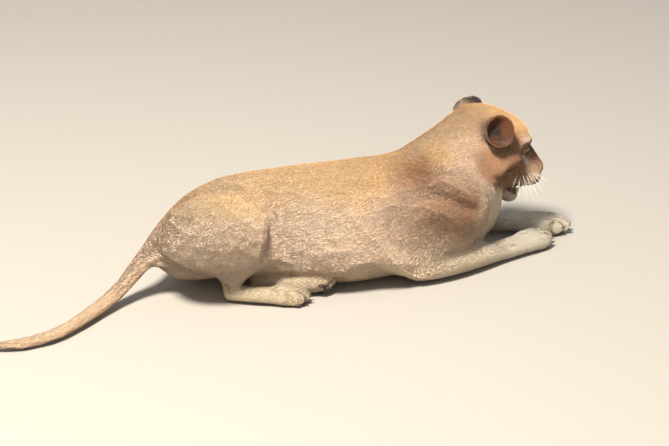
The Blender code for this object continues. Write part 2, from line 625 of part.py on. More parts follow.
# ------------------------------------------------ the whole animal
def build():
    sandy = coat_material("sandy coat", SANDY)
    pale = coat_material("pale coat", PALE)
    dark = coat_material("dark hair", DARK)
    leather = coat_material("nose leather", (0.10, 0.05, 0.045), 0.45)
    iris = coat_material("eye", AMBER, 0.08)
    tongue_skin = coat_material("tongue", PINK, 0.4)
    ivory = coat_material("teeth", (0.82, 0.76, 0.62), 0.3)

    core = bmesh.new()
    trunk_shape(core)
    neck_shape(core)
    throat_shape(core)
    hind_quarters(core)
    heel_cord(core)
    shoulder_shape(core, -1, 0.0, -0.085)
    shoulder_shape(core, 1, 0.03, 0.03)
    elbow_fold(core)
    tail_root(core)
    body = on_floor(flesh("body", core, BODY_VOXEL, 6, 1450, body_dents()))

    skull = head_shape()
    neck_shape(skull)
    head = flesh("head", skull, HEAD_VOXEL, 3, 1350, head_dents())
    boolean(head, half_space(HEAD_CUT[0], HEAD_CUT[1]), "INTERSECT")
    largest_piece(head)
    beyond = boolean(half_space(HEAD_CUT[0] - HEAD_CUT[1] * GAP, HEAD_CUT[1]),
                     half_space(*NECK_CUT), "INTERSECT")
    boolean(body, beyond, "DIFFERENCE")
    for side in (-1, 1):
        eye = shape_object(eye_shape(side), "eye")
        boolean(head, copy_of(eye, "socket", CLEARANCE), "DIFFERENCE")
        finish(eye, "eye_right" if side < 0 else "eye_left", iris)
    clear_of(body, head)

    jaw = clear_of(flesh("jaw", jaw_shape(), HEAD_VOXEL, 2, 260), head, body)
    tongue = clear_of(flesh("tongue", tongue_shape(), EAR_VOXEL, 1, 100), head, jaw)
    for side in (-1, 1):
        hand = "right" if side < 0 else "left"
        for upper in (True, False):
            fang = shape_object(canine_shape(side, upper), "fang")
            clear_of(fang, head, jaw, tongue)
            finish(fang, ("upper" if upper else "lower") + "_canine_" + hand, ivory)
        ear = flesh("ear", ear_shape(side), EAR_VOXEL, 2, 180)
        finish(clear_of(ear, head, body), "ear_" + hand, dark)
    nose_cutter = place(egg_cutter((0.238, 0, -0.012), (0.028, 0.031, 0.026)), HEAD_FRAME)
    finish(split(head, "nose", nose_cutter), "nose", leather)
    finish(tongue, "tongue", tongue_skin)
    finish(jaw, "lower_jaw", pale)
    finish(head, "head", sandy)

    feet = []
    for joints, roll in ((RIGHT_HINDFOOT, 0.0), (LEFT_HINDFOOT, LEFT_SOLE_TURN)):
        foot = flesh("hindfoot", hindfoot_shape(**joints, roll=roll), HEAD_VOXEL, 2, 300)
        feet.append(clear_of(on_floor(foot), *feet))
    clear_of(body, *feet)
    forelegs = []
    for hand, joints in (("right", RIGHT_FORELEG), ("left", LEFT_FORELEG)):
        leg = flesh("foreleg", foreleg_shape(**joints), HEAD_VOXEL, 2, 320)
        forelegs.append(clear_of(on_floor(leg), body, *forelegs))
        wrist, knuckle = Vector(joints["wrist"]), Vector(joints["knuckle"])
        finish(split_plane(leg, "forepaw", wrist, knuckle - wrist), "forepaw_" + hand, pale)
    block, root, along = tail_block()
    boolean(body, copy_of(block, "tail_gap", GAP), "DIFFERENCE")
    largest_piece(body)
    tail = on_floor(flesh("tail", tail_shape(), HEAD_VOXEL, 2, 340))
    tail = largest_piece(boolean(tail, half_space(root, along), "INTERSECT"))
    for name, index in reversed(TAIL_CUTS):
        before, here, after = (Vector(TAIL_PATH[index + k][:3]) for k in (-1, 0, 1))
        surface = dark if name == "tail_tuft" else sandy
        finish(split_plane(tail, name, here, after - before), name, surface)
    finish(tail, "tail_base", sandy)
    for hand, foot, leg in zip(("right", "left"), feet, forelegs):
        finish(foot, "hindfoot_" + hand, pale)
        finish(leg, "foreleg_" + hand, sandy)

    finish(split_plane(body, "neck", *NECK_CUT), "neck", sandy)
    for hand, side in (("right", -1), ("left", 1)):
        shoulder = egg_cutter((0.360, CHEST_MIDDLE + side * 0.190, 0.190), (0.185, 0.125, 0.215),
                              (0, -15, 0))
        finish(split(body, "shoulder", shoulder), "shoulder_" + hand, sandy)
    right_thigh = egg_cutter((-0.425, -0.130, 0.235), (0.205, 0.160, 0.185))
    finish(split(body, "thigh", right_thigh), "thigh_right", sandy)
    left_thigh = egg_cutter((-0.340, 0.250, 0.070), (0.240, 0.130, 0.170))
    finish(split(body, "thigh", left_thigh), "thigh_left", sandy)
    finish(split_plane(body, "chest", (0.170, 0, 0), FORWARD), "chest", sandy)
    finish(split_plane(body, "belly", (-0.200, 0, 0), FORWARD), "belly", sandy)
    finish(body, "rump", sandy)
    centre_on_floor()


def centre_on_floor():
    """Put the middle of the model's box over the origin."""
    corners = [Vector(c) for thing in LIONESS.objects for c in thing.bound_box]
    low, high = (Vector(map(pick, *corners)) for pick in (min, max))
    centre = bpy.data.objects.new("lioness", None)
    LIONESS.objects.link(centre)
    for thing in LIONESS.objects:
        if thing.type == "MESH":
            thing.parent = centre
    middle = (low + high) / 2
    centre.location = (-middle.x, -middle.y, 0.0)


clear_scene()
LIONESS = new_collection("lioness")
CUTTERS = new_collection("cutters")
build()
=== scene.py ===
import math
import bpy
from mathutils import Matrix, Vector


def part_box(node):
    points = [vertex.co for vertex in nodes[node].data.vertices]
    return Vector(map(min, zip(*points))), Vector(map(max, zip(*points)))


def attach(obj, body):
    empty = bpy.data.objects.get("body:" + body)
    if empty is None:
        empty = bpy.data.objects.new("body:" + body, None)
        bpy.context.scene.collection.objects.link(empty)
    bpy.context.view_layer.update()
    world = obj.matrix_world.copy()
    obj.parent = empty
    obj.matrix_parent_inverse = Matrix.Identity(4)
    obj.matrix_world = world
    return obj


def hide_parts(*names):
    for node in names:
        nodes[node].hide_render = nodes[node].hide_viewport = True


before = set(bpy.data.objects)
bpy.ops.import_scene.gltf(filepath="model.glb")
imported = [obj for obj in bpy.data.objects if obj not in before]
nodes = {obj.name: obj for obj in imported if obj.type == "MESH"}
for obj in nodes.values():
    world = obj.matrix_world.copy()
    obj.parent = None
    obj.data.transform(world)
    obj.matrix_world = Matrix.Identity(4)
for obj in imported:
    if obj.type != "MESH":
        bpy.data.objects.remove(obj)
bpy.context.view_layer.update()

from types import SimpleNamespace

import bmesh
import bpy
import numpy as np
from mathutils import Euler, Matrix, Vector
from mathutils.bvhtree import BVHTree

# A lioness lying with her head raised, as a still museum model.
# +X points to her head, +Y to her left, +Z up, and she rests on z = 0.

scene = bpy.context.scene
chance = np.random.default_rng(7)
farAway = 9.0                            # more than any distance here, in metres


def seen(red, green, blue):
    # a colour as the eye reads it, 0 to 255, turned into the shader's own values
    return np.array([((c / 255 + 0.055) / 1.055) ** 2.4 for c in (red, green, blue)])


def solid(tone):
    # a colour with its opacity
    return (*seen(*tone), 1)


def smooth(value, low, high):
    # from 0 at low to 1 at high, with soft ends
    t = np.clip((value - low) / (high - low), 0.0, 1.0)
    return t * t * (3 - 2 * t)


def bell(distance, width):
    # 1 at no distance, falling off over the width
    return np.exp(-(distance / width) ** 2)


def blob(points, centre, radii):
    away = (points - np.array(centre)) / np.array(radii)
    return np.exp(-np.einsum("ij,ij->i", away, away))


def pathDistance(points, path):
    # how far each point is from a bent line
    best = np.full(len(points), farAway)
    for start, end in zip(path[:-1], path[1:]):
        a, b = np.array(start, float), np.array(end, float)
        along = np.clip((points - a) @ (b - a) / ((b - a) @ (b - a)), 0, 1)
        best = np.minimum(best, np.linalg.norm(points - a - along[:, None] * (b - a), axis=1))
    return best


def unit(vectors):
    return vectors / np.maximum(np.linalg.norm(vectors, axis=-1, keepdims=True), 1e-9)


def speckle(points, size, seed):
    # smooth noise from 0 to 1, with blotches of about the given size
    grid = points / size + 500.0
    base = np.floor(grid).astype(np.int64)
    part = grid - base
    part = part * part * (3 - 2 * part)
    total = np.zeros(len(points))
    for corner in np.ndindex(2, 2, 2):
        cell = base + np.array(corner)
        mixed = (cell[:, 0] * 73856093) ^ (cell[:, 1] * 19349663) ^ (cell[:, 2] * 83492791)
        mixed = (mixed ^ (seed * 2654435761)) & 0xFFFFFFFF
        mixed = ((mixed ^ (mixed >> 15)) * 2246822519) & 0xFFFFFFFF
        mixed = ((mixed ^ (mixed >> 13)) * 3266489917) & 0xFFFFFFFF
        share = np.prod(np.where(np.array(corner) == 1, part, 1 - part), axis=1)
        total += share * (mixed / 0xFFFFFFFF)
    return total


def readMesh(items, name, width, kind=np.float32):
    flat = np.empty(len(items) * width, kind)
    items.foreach_get(name, flat)
    return flat.reshape(-1, width)


def meshPoints(mesh):
    return readMesh(mesh.vertices, "co", 3).astype(float)


def meshNormals(mesh):
    return readMesh(mesh.vertex_normals, "vector", 3).astype(float)


def meshPairs(mesh):
    return readMesh(mesh.edges, "vertices", 2, np.int32)


def setPoints(mesh, points):
    mesh.vertices.foreach_set("co", points.astype(np.float32).ravel())
    mesh.update()


def setColours(mesh, values):
    marks = mesh.color_attributes.new("coat", "FLOAT_COLOR", "POINT")
    marks.data.foreach_set("color", values.astype(np.float32).ravel())


def spread(values, pairs, rounds, weight=0.5):
    # let values flow along the edges of a mesh; weight may differ from point to point
    first, second = pairs.T
    size = len(values)
    near = np.bincount(first, minlength=size) + np.bincount(second, minlength=size)
    near = np.maximum(near, 1)[:, None]
    share = np.reshape(weight, (-1, 1)) if np.ndim(weight) else weight
    for _ in range(rounds):
        total = np.column_stack([np.bincount(first, column[second], size)
                                 + np.bincount(second, column[first], size)
                                 for column in values.T])
        values = values + share * (total / near - values)
    return values


def newObject(name, mesh):
    made = bpy.data.objects.new(name, mesh)
    scene.collection.objects.link(made)
    return made


def bmeshObject(name, shape):
    mesh = bpy.data.meshes.new(name)
    shape.to_mesh(mesh)
    shape.free()
    return newObject(name, mesh)


def applyModifiers(thing):
    graph = bpy.context.evaluated_depsgraph_get()
    mesh = bpy.data.meshes.new_from_object(thing.evaluated_get(graph))
    thing.modifiers.clear()
    thing.data = mesh
    return thing


def mergedCopy(names, grow=0.0):
    # the solids' own triangles joined up, a little swollen so that neighbours overlap
    joined = bmesh.new()
    for name in names:
        part = bmesh.new()
        part.from_mesh(nodes[name].data)
        bmesh.ops.remove_doubles(part, verts=part.verts, dist=1e-5)
        part.normal_update()
        for vertex in part.verts:
            vertex.co += vertex.normal * grow
        held = bpy.data.meshes.new("held")
        part.to_mesh(held)
        part.free()
        joined.from_mesh(held)
        bpy.data.meshes.remove(held)
    return joined


def remeshed(name, shape, voxel):
    thing = bmeshObject(name, shape)
    join = thing.modifiers.new("join", "REMESH")
    join.mode = "VOXEL"
    join.voxel_size = voxel
    return applyModifiers(thing)


def settle(piece, material, slot, *replaced):
    piece.data.materials.append(material)
    piece.data.shade_smooth()
    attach(piece, "root")
    if replaced:
        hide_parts(*replaced)


def middleOf(name):
    low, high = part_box(name)
    return (low + high) / 2


studio = {
    "aim": (0.2113, -0.0395, 0.2),       # what the camera looks at
    "distance": 6.0,
    "azimuth": -21.0,
    "elevation": 24.0,
    "lens": 101.7,
    "floorSize": 30.0,
    "floorColour": (168, 162, 153),
    "keyFrom": (-3.0, -2.4, 7.0),        # high, behind her and on the camera's side
    "keySize": 1.6,
    "keyPower": 1500.0,
    "keyColour": (1.0, 0.95, 0.86),
    "fillPower": 0.46,
}


def aimAt(thing, place, target):
    thing.location = place
    thing.rotation_euler = (Vector(place) - Vector(target)).to_track_quat("Z", "Y").to_euler()


def makeStudio():
    turn, rise = math.radians(studio["azimuth"]), math.radians(studio["elevation"])
    away = Vector((math.sin(turn) * math.cos(rise), -math.cos(turn) * math.cos(rise), math.sin(rise)))
    aim = Vector(studio["aim"])
    lens = bpy.data.cameras.new("camera")
    lens.lens = studio["lens"]
    lens.sensor_width = 36.0
    lens.clip_end = 60.0
    camera = newObject("camera", lens)
    aimAt(camera, aim + away * studio["distance"], aim)
    scene.camera = camera

    shape = bmesh.new()
    bmesh.ops.create_grid(shape, x_segments=8, y_segments=8, size=studio["floorSize"] / 2)
    floor = bmeshObject("floor", shape)
    pale, _, shader = newMaterial("pale floor", 0.9)
    put(shader, {"Base Color": solid(studio["floorColour"])})
    floor.data.materials.append(pale)

    key = bpy.data.lights.new("key", "AREA")
    key.shape = "DISK"
    key.size = studio["keySize"]
    key.energy = studio["keyPower"]
    key.color = studio["keyColour"]
    aimAt(newObject("key", key), aim + Vector(studio["keyFrom"]), aim)

    world = bpy.data.worlds.new("studio")
    scene.world = world
    world.use_nodes = True
    put(world.node_tree.nodes["Background"],
        {"Color": (0.93, 0.96, 1.0, 1), "Strength": studio["fillPower"]})
    scene.view_settings.view_transform = "Standard"
    print("studio done")


headPlan = {
    "turn": (0.0, 28.0, 2.0),            # roll, pitch and yaw in degrees
    "eye": (0.113, 0.047, 0.037),        # ahead, out and up from the head's middle
    "jawHinge": (0.0, 0.0, -0.045),
    "jawOpen": 6.5,                      # degrees
}
headTurn = Euler([math.radians(a) for a in headPlan["turn"]]).to_matrix()
eyeMiddles = {-1: middleOf("eye_right"), 1: middleOf("eye_left")}
headScale = (eyeMiddles[1] - eyeMiddles[-1]).length / (2 * headPlan["eye"][1])
headOrigin = ((eyeMiddles[1] + eyeMiddles[-1]) / 2
              - headTurn @ Vector((headPlan["eye"][0], 0, headPlan["eye"][2])) * headScale)


def toHead(points):
    # x ahead, y to her left, z up, from the middle of the head
    return (points - np.array(headOrigin)) @ np.array(headTurn) / headScale


def fromHead(points):
    return np.array(points, float) * headScale @ np.array(headTurn).T + np.array(headOrigin)


def turnFromHead(vectors):
    return np.array(vectors, float) @ np.array(headTurn).T


# the jaw swings down about a hinge below the ears
jawHinge, jawAngle = np.array(headPlan["jawHinge"]), math.radians(headPlan["jawOpen"])
jawTurn = np.array(Matrix.Rotation(jawAngle, 3, "Y"))
# forms of the body are placed from the spot on the floor under her navel
navel = np.array(headOrigin) - np.array((0.540, 0.060, 0.378))


def fromJaw(points):
    return fromHead((np.array(points, float) - jawHinge) @ jawTurn.T + jawHinge)


def toJaw(points):
    return (toHead(points) - jawHinge) @ jawTurn + jawHinge


skinPlan = {
    "voxel": 0.0036,
    "swell": 0.0009,
    "triangles": 186000,
    "rounds": 70,                        # how long the facets of the solids are smoothed
}

# for each region: how much it is smoothed, how deep its coat is, the length and width
# of a tuft, and how many layers deep the tufts lie
regions = {
    "head": (0.45, 0.0016, 0.0078, 0.0018, 2.3),
    "lower_jaw": (0.45, 0.0016, 0.0090, 0.0018, 2.2),
    "ear_right": (0.10, 0.0008, 0.0070, 0.0014, 1.8),
    "ear_left": (0.10, 0.0008, 0.0070, 0.0014, 1.8),
    "neck": (1.0, 0.0030, 0.0165, 0.0026, 2.7),
    "chest": (1.0, 0.0032, 0.0165, 0.0026, 2.5),
    "belly": (1.0, 0.0029, 0.0155, 0.0028, 2.3),
    "rump": (1.0, 0.0027, 0.0148, 0.0027, 2.3),
    "shoulder_right": (0.90, 0.0026, 0.0140, 0.0023, 2.7),
    "shoulder_left": (0.90, 0.0026, 0.0140, 0.0023, 2.3),
    "thigh_right": (0.90, 0.0026, 0.0135, 0.0023, 2.8),
    "thigh_left": (0.90, 0.0026, 0.0135, 0.0022, 2.0),
    "foreleg_right": (0.60, 0.0018, 0.0100, 0.0017, 1.4),
    "foreleg_left": (0.60, 0.0018, 0.0100, 0.0017, 1.4),
    "forepaw_right": (0.30, 0.0013, 0.0070, 0.0016, 1.1),
    "forepaw_left": (0.30, 0.0013, 0.0070, 0.0016, 1.1),
    "hindfoot_right": (0.30, 0.0013, 0.0070, 0.0016, 1.1),
    "hindfoot_left": (0.30, 0.0013, 0.0070, 0.0016, 1.1),
    "tail_base": (0.80, 0.0024, 0.0120, 0.0016, 1.8),
    "tail_middle": (0.80, 0.0022, 0.0115, 0.0016, 1.8),
    "tail_end": (0.60, 0.0020, 0.0115, 0.0016, 1.8),
    "tail_tuft": (0.50, 0.0085, 0.0380, 0.0026, 3.0),
}
fleshNodes = list(regions)
eyeNodes = ["eye_right", "eye_left"]


def faceCount(name):
    part = mergedCopy([name])
    size = len(part.faces)
    part.free()
    return size


class Labels:
    # tells which region of the solids is nearest to a point
    def __init__(self):
        shape = mergedCopy(fleshNodes)
        self.tree = BVHTree.FromBMesh(shape)
        shape.free()
        self.ends = np.cumsum([faceCount(name) for name in fleshNodes])

    def at(self, points):
        faces = [self.tree.find_nearest(Vector(p))[2] for p in points]
        return np.searchsorted(self.ends, faces, side="right")


def refine(thing, centre, radius, cuts=1):
    # finer faces within reach of a place
    shape = bmesh.new()
    shape.from_mesh(thing.data)
    middle = Vector(centre)
    close = [v for v in shape.verts if (v.co - middle).length < radius]
    kept = set(close)
    edges = [e for v in close for e in v.link_edges if e.other_vert(v) in kept]
    bmesh.ops.subdivide_edges(shape, edges=list(set(edges)), cuts=cuts, use_grid_fill=True)
    bmesh.ops.triangulate(shape, faces=[f for f in shape.faces if len(f.verts) > 4])
    shape.to_mesh(thing.data)
    shape.free()


def baseSkin(labels):
    voxel = skinPlan["voxel"] * 1.0
    shape = mergedCopy([n for n in fleshNodes if not n.startswith("ear")] + eyeNodes + ["nose"],
                       skinPlan["swell"])
    shape.from_mesh(roundedEars())
    skin = remeshed("skin", shape, voxel)
    keepLargest(skin)
    points, pairs = meshPoints(skin.data), meshPairs(skin.data)
    region = labels.at(points)
    amounts = np.array([regions[name][:2] for name in fleshNodes])[region]
    amounts = spread(amounts, pairs, 12)
    rounds = skinPlan["rounds"] // 1
    points = spread(points, pairs, rounds, 0.5 * amounts[:, 0])
    setPoints(skin.data, points)
    depth = amounts[:, 1] + skinPlan["swell"]
    local = toHead(points)
    depth -= 0.0008 * smooth(local[:, 0], 0.13, 0.17)
    setPoints(skin.data, points - meshNormals(skin.data) * depth[:, None])
    return skin


def roundedEars():
    # the ears smoothed before they are joined on, so that their rims stay thin and even
    ears = bmeshObject("ears", mergedCopy(["ear_right", "ear_left"], 0.0012))
    rounder = ears.modifiers.new("rounder", "SUBSURF")
    rounder.levels = rounder.render_levels = 2
    applyModifiers(ears)
    mesh = ears.data
    points = toHead(spread(meshPoints(mesh), meshPairs(mesh), 6, 0.5))
    for side, name in ((-1, "ear_right"), (1, "ear_left")):
        # the smoothing draws them in, so they are brought back to their full size
        here = points[:, 1] * side > 0
        full = toHead(meshPoints(nodes[name].data))
        low, high = points[here].min(axis=0), points[here].max(axis=0)
        wantedLow, wantedHigh = full.min(axis=0), full.max(axis=0)
        points[here] = wantedLow + (points[here] - low) / (high - low) * (wantedHigh - wantedLow)
    setPoints(mesh, fromHead(points))
    bpy.data.objects.remove(ears)
    return mesh


def keepLargest(thing):
    shape = bmesh.new()
    shape.from_mesh(thing.data)
    left = set(shape.verts)
    groups = []
    while left:
        queue = [left.pop()]
        group = list(queue)
        while queue:
            vertex = queue.pop()
            for edge in vertex.link_edges:
                other = edge.other_vert(vertex)
                if other in left:
                    left.remove(other)
                    group.append(other)
                    queue.append(other)
        groups.append(group)
    groups.sort(key=len)
    for group in groups[:-1]:
        bmesh.ops.delete(shape, geom=group, context="VERTS")
    shape.to_mesh(thing.data)
    shape.free()


eyePlan = {
    "radius": 0.0180,
    "gaze": (0.80, 0.58, -0.06),         # the right one mirrors the left
    "cant": 14.0,                        # the inner corner sits lower
    "halfLength": 0.0152,
    "upperLid": 0.0078,
    "lowerLid": 0.0072,
    "lidDepth": 0.0011,
}


def eyeAxes(side):
    # gaze, the way from the inner to the outer corner, and up, in the world
    ahead, out, rise = eyePlan["gaze"]
    gaze = Vector((ahead, out * side, rise)).normalized()
    outward = (gaze.cross(Vector((0, 0, 1))) * -side).normalized()
    up = (gaze.cross(outward) * side).normalized()
    if up.z < 0:
        up = -up
    cant = math.radians(eyePlan["cant"])
    slit = outward * math.cos(cant) + up * math.sin(cant)
    lift = up * math.cos(cant) - outward * math.sin(cant)
    return [Vector(turnFromHead(v)) for v in (gaze, slit, lift)]


def eyeMatrix(side):
    # slit, up and gaze as the eye's own x, y and z
    gaze, slit, _ = eyeAxes(side)
    return Matrix((slit, gaze.cross(slit), gaze)).transposed()


def eyeOpening(across, rise):
    # below nothing inside the opening between the lids, in metres on the eyeball
    half = eyePlan["halfLength"]
    arch = np.sqrt(np.clip(1 - (across / half) ** 2, 0, 1)) ** 1.3
    lid = np.where(rise > 0, eyePlan["upperLid"], eyePlan["lowerLid"]) * arch
    return np.where(np.abs(across) < half, np.abs(rise) - lid, np.hypot(np.abs(across) - half, rise))


def shapeLids(points):
    radius = eyePlan["radius"]
    edges = np.full(len(points), farAway)
    for side, middle in eyeMiddles.items():
        gaze, slit, lift = (np.array(v) for v in eyeAxes(side))
        away = points - np.array(middle)
        reach = np.linalg.norm(away, axis=1)
        front = (away @ gaze > 0.15 * reach) & (reach < radius * 2.6)
        across, rise = away @ slit / reach * radius, away @ lift / reach * radius
        edge = eyeOpening(across, rise)
        shell = radius + eyePlan["lidDepth"] + 0.0010 * smooth(edge, 0, 0.004)
        crease = 0.0012 * bell(edge - 0.0050, 0.0012) * (rise > 0) + 0.0006 * bell(edge - 0.0048, 0.001)
        outside = shell + np.maximum(reach - shell, 0) * smooth(edge, 0.0, 0.011) - crease
        wanted = np.where(edge < 0, radius * 0.70, outside)
        fade = smooth(away @ gaze / reach, 0.15, 0.35)
        moved = reach + (wanted - reach) * fade
        points = np.where(front[:, None], np.array(middle) + away * (moved / reach)[:, None], points)
        edges = np.where(front, np.minimum(edges, edge), edges)
    return points, edges


facePlan = {
    "padRows": 4,
    "padDots": 6,
    "padStart": (0.205, 0.049, -0.022),  # the first whisker spot, front and top
    "padStep": (-0.0125, 0.0025, -0.0012),
    "padDrop": (-0.004, 0.003, -0.0095),
}


def whiskerSpots():
    start, step, drop = (np.array(facePlan[k]) for k in ("padStart", "padStep", "padDrop"))
    return np.array([start + step * dot + drop * row
                     for row in range(facePlan["padRows"]) for dot in range(facePlan["padDots"])])


# forms of the face, in millimetres: path in the head's frame, width, and height (a groove when
# below nothing)
faceForms = [
    ([(236, 0, -30), (232, 0, -52), (222, 0, -75)], 3, -2.6),
    ([(120, 0, 80), (60, 0, 108), (0, 0, 112)], 8, -1.4),
    ([(225, 0, 12), (150, 0, 42), (110, 0, 60)], 13, -1.8),
    ([(222, 21, 8), (150, 25, 34), (115, 23, 52)], 7, 2.6),
    ([(205, 36, -6), (165, 45, 8), (142, 48, 16)], 10, -3),
    ([(214, 30, -34), (190, 48, -38), (165, 56, -42)], 18, 5),
    ([(228, 16, -38), (226, 22, -54)], 14, 6),
    ([(226, 18, -60), (200, 40, -66), (165, 52, -70)], 9, 3.6),
    ([(232, 26, -18), (214, 38, -20), (196, 46, -14)], 6, -2.6),
    ([(168, 64, -8), (152, 68, -35), (142, 66, -64)], 6.5, -3.4),
    ([(150, 42, 10), (130, 60, 2), (105, 76, 8)], 6, -2.2),
    ([(146, 47, 18), (128, 62, 12), (108, 74, 18)], 5, 1.4),
    ([(136, 34, 60), (115, 50, 71), (90, 68, 62)], 11, 4.4),
    ([(122, 12, 74), (85, 14, 98)], 6, -1.6),
    ([(60, 88, 56), (20, 98, 60)], 22, -4.5),
    ([(105, 78, 0), (65, 100, 6), (20, 114, 20)], 15, 4.4),
    ([(118, 72, -45), (75, 92, -42)], 15, -3.4),
    ([(30, 105, -30), (-10, 110, -42)], 30, 6),
    ([(112, 70, -82), (92, 82, -62)], 6, -2.6),
    ([(70, 100, -70), (20, 118, -75), (-40, 118, -50)], 11, -3.4),
    ([(30, 0, 108), (-60, 0, 100)], 12, 2.4),
]


def formed(points, forms, sides):
    # what the forms add at each point; a form on the middle line is shared by both sides
    change = np.zeros(len(points))
    for path, width, height in forms:
        share = 0.5 if len(sides) == 2 and path[0][1] == 0 else 1.0
        for side in sides:
            away = pathDistance(points, np.array(path) * (1, side, 1) / 1000)
            change += share * height / 1000 * bell(away, width / 1000)
    return change


def sculptFace(points, normals):
    local = toHead(points)
    near = local[:, 0] > -0.09
    change = np.zeros(len(points))
    change[near] = formed(local[near], faceForms, (-1, 1))
    for spot in whiskerSpots():
        for side in (-1, 1):
            away = np.linalg.norm(local[near] - spot * (1, side, 1), axis=1)
            change[near] += 0.0009 * bell(away, 0.0030)
    return points + normals * change[:, None]


# forms of the body, in millimetres: path from the navel, width and height
thighCrease = [(-262, 12, 380), (-234, -10, 367), (-226, -52, 329), (-231, -73, 294), (-236, -88, 255),
               (-250, -100, 205), (-272, -115, 175), (-292, -114, 140)]
bodyForms = [
    # before the right thigh, and the edge of the thigh over it
    (thighCrease, 6.2, -12),
    ([(-229, -73, 294), (-236, -88, 255), (-250, -100, 205), (-272, -115, 175),
      (-292, -114, 140)], 13, -12),
    ([(-290, -20, 372), (-264, -50, 345), (-262, -82, 310), (-268, -108, 255),
      (-286, -124, 200)], 24, 12),
    ([(-410, 30, 388), (-308, 22, 388), (-262, 12, 380)], 15, -5),
    ([(-500, -60, 300), (-430, -125, 285), (-370, -138, 270)], 20, -3.5),
    ([(-470, -90, 215), (-400, -130, 190), (-330, -130, 180)], 20, -4),
    # between the tail and the haunch
    ([(-545, 20, 240), (-562, 36, 190), (-560, 45, 140)], 13, -9),
    # behind the shoulder, down to the elbow
    ([(157, -51, 371), (164, -84, 350), (175, -116, 316), (183, -126, 285), (166, -126, 252),
      (140, -142, 225)], 11, -10),
    ([(205, -30, 385), (210, -75, 355), (218, -105, 325)], 22, 7),
    ([(290, 0, 405), (322, -60, 388), (345, -92, 355)], 26, 6),
    ([(222, -30, 382), (240, -80, 352)], 8, -3.6),
    ([(309, -102, 369), (352, -100, 358), (383, -94, 344)], 15, -12),
    ([(300, -110, 335), (332, -107, 330), (363, -101, 316), (388, -102, 295), (430, -110, 262)], 20, 9),
    ([(219, -107, 306), (281, -112, 298), (329, -115, 290), (377, -118, 262), (436, -118, 226)], 19, -17),
    ([(262, -132, 262), (306, -136, 246), (337, -143, 226), (362, -150, 205)], 17, 9),
    ([(240, -145, 212), (320, -155, 185)], 22, -12),
    ([(42, -163, 224), (74, -168, 190), (107, -171, 155), (150, -178, 112)], 16, 8),
    ([(125, -150, 232), (132, -165, 190), (165, -168, 150)], 20, -18),
    # folds of the neck
    ([(353, -1, 433), (380, -35, 415), (413, -58, 387), (454, -64, 352)], 6.5, -5.2),
    ([(368, -1, 440), (397, -36, 418), (432, -56, 388), (466, -60, 360)], 6, -4.8),
    ([(385, -2, 447), (414, -36, 421), (450, -54, 390), (477, -56, 367)], 6, -5.2),
    ([(475, -38, 447), (487, -49, 397), (470, -58, 350)], 8, -4.4),
    ([(335, -30, 412), (365, -68, 390), (400, -85, 360), (440, -88, 322)], 13, -5),
    ([(475, 158, 440), (487, 168, 397), (470, 175, 350)], 8, -4.4),
    ([(385, 100, 450), (425, 150, 410), (455, 175, 360)], 7, -3.4),
    ([(350, 120, 420), (390, 160, 375), (430, 180, 320)], 12, -5),
    # breast, far shoulder and far flank
    ([(552, 40, 290), (550, 36, 200), (540, 35, 110)], 16, -5),
    ([(190, 130, 371), (195, 185, 330), (190, 205, 260), (180, 215, 190)], 15, -7),
    ([(330, 175, 375), (400, 185, 350)], 18, -6),
    ([(260, 200, 300), (340, 205, 290), (430, 200, 240)], 20, -7),
    ([(-215, 190, 280), (-190, 215, 200), (-150, 225, 120)], 16, -7),
    # belly
    ([(-200, -118, 180), (-130, -150, 115), (-40, -165, 75)], 18, -5),
    ([(-180, -110, 240), (-90, -148, 170), (0, -168, 120)], 30, 4),
]


bodyPlan = {
    "ribSpacing": 0.042,
    "ribHeight": 0.0011,
    "slackSize": 0.055,                  # loose folds of the skin
    "slackDepth": 0.0050,
}


def sculptBody(points, normals):
    local = points - navel
    change = formed(local, bodyForms, (1,))
    ribs = np.sin((local[:, 0] + 0.45 * local[:, 2]) * 2 * math.pi / bodyPlan["ribSpacing"])
    where = smooth(local[:, 0], -0.16, -0.06) * smooth(local[:, 0], 0.17, 0.08)
    where *= smooth(local[:, 2], 0.36, 0.30) * smooth(local[:, 2], 0.12, 0.20)
    change += bodyPlan["ribHeight"] * ribs * where
    slack = speckle(points * (1, 1, 1.6), bodyPlan["slackSize"], 21) - 0.5
    slack = bodyPlan["slackDepth"] * slack
    change += slack * smooth(local[:, 0], 0.50, 0.40) * smooth(points[:, 2], 0.02, 0.09)
    return points + normals * change[:, None]


# each foot: knuckle and tip from the navel, half its width, and how far the sole is turned
feet = {
    "forepaw_right": ((0.640, -0.030, 0.032), (0.775, 0.012, 0.028), 0.052, 0.0),
    "forepaw_left": ((0.735, 0.130, 0.034), (0.875, 0.055, 0.028), 0.052, 0.0),
    "hindfoot_right": ((-0.238, -0.096, 0.030), (-0.132, -0.133, 0.027), 0.044, 0.0),
    "hindfoot_left": ((-0.150, -0.058, 0.041), (-0.040, -0.097, 0.038), 0.044, -45.0),
}
toePlaces = ((-0.66, 0.60), (-0.22, 0.74), (0.22, 0.74), (0.66, 0.60))


feetPlan = {
    "gaps": (-0.44, 0.0, 0.44),          # the clefts, as shares of half the width
    "cleft": 0.0080,
    "knuckle": 0.0024,
    "sheath": 0.0018,                    # the swelling over a claw
}


def footFrame(name):
    knuckle, tip, half, roll = feet[name]
    along = Vector(tip) - Vector(knuckle)
    length = along.length
    along.normalize()
    across = Matrix.Rotation(math.radians(roll), 3, along) @ along.cross(Vector((0, 0, 1))).normalized()
    return SimpleNamespace(knuckle=Vector(knuckle) + Vector(navel), along=along, across=across,
                           rise=across.cross(along).normalized(), length=length, half=half)


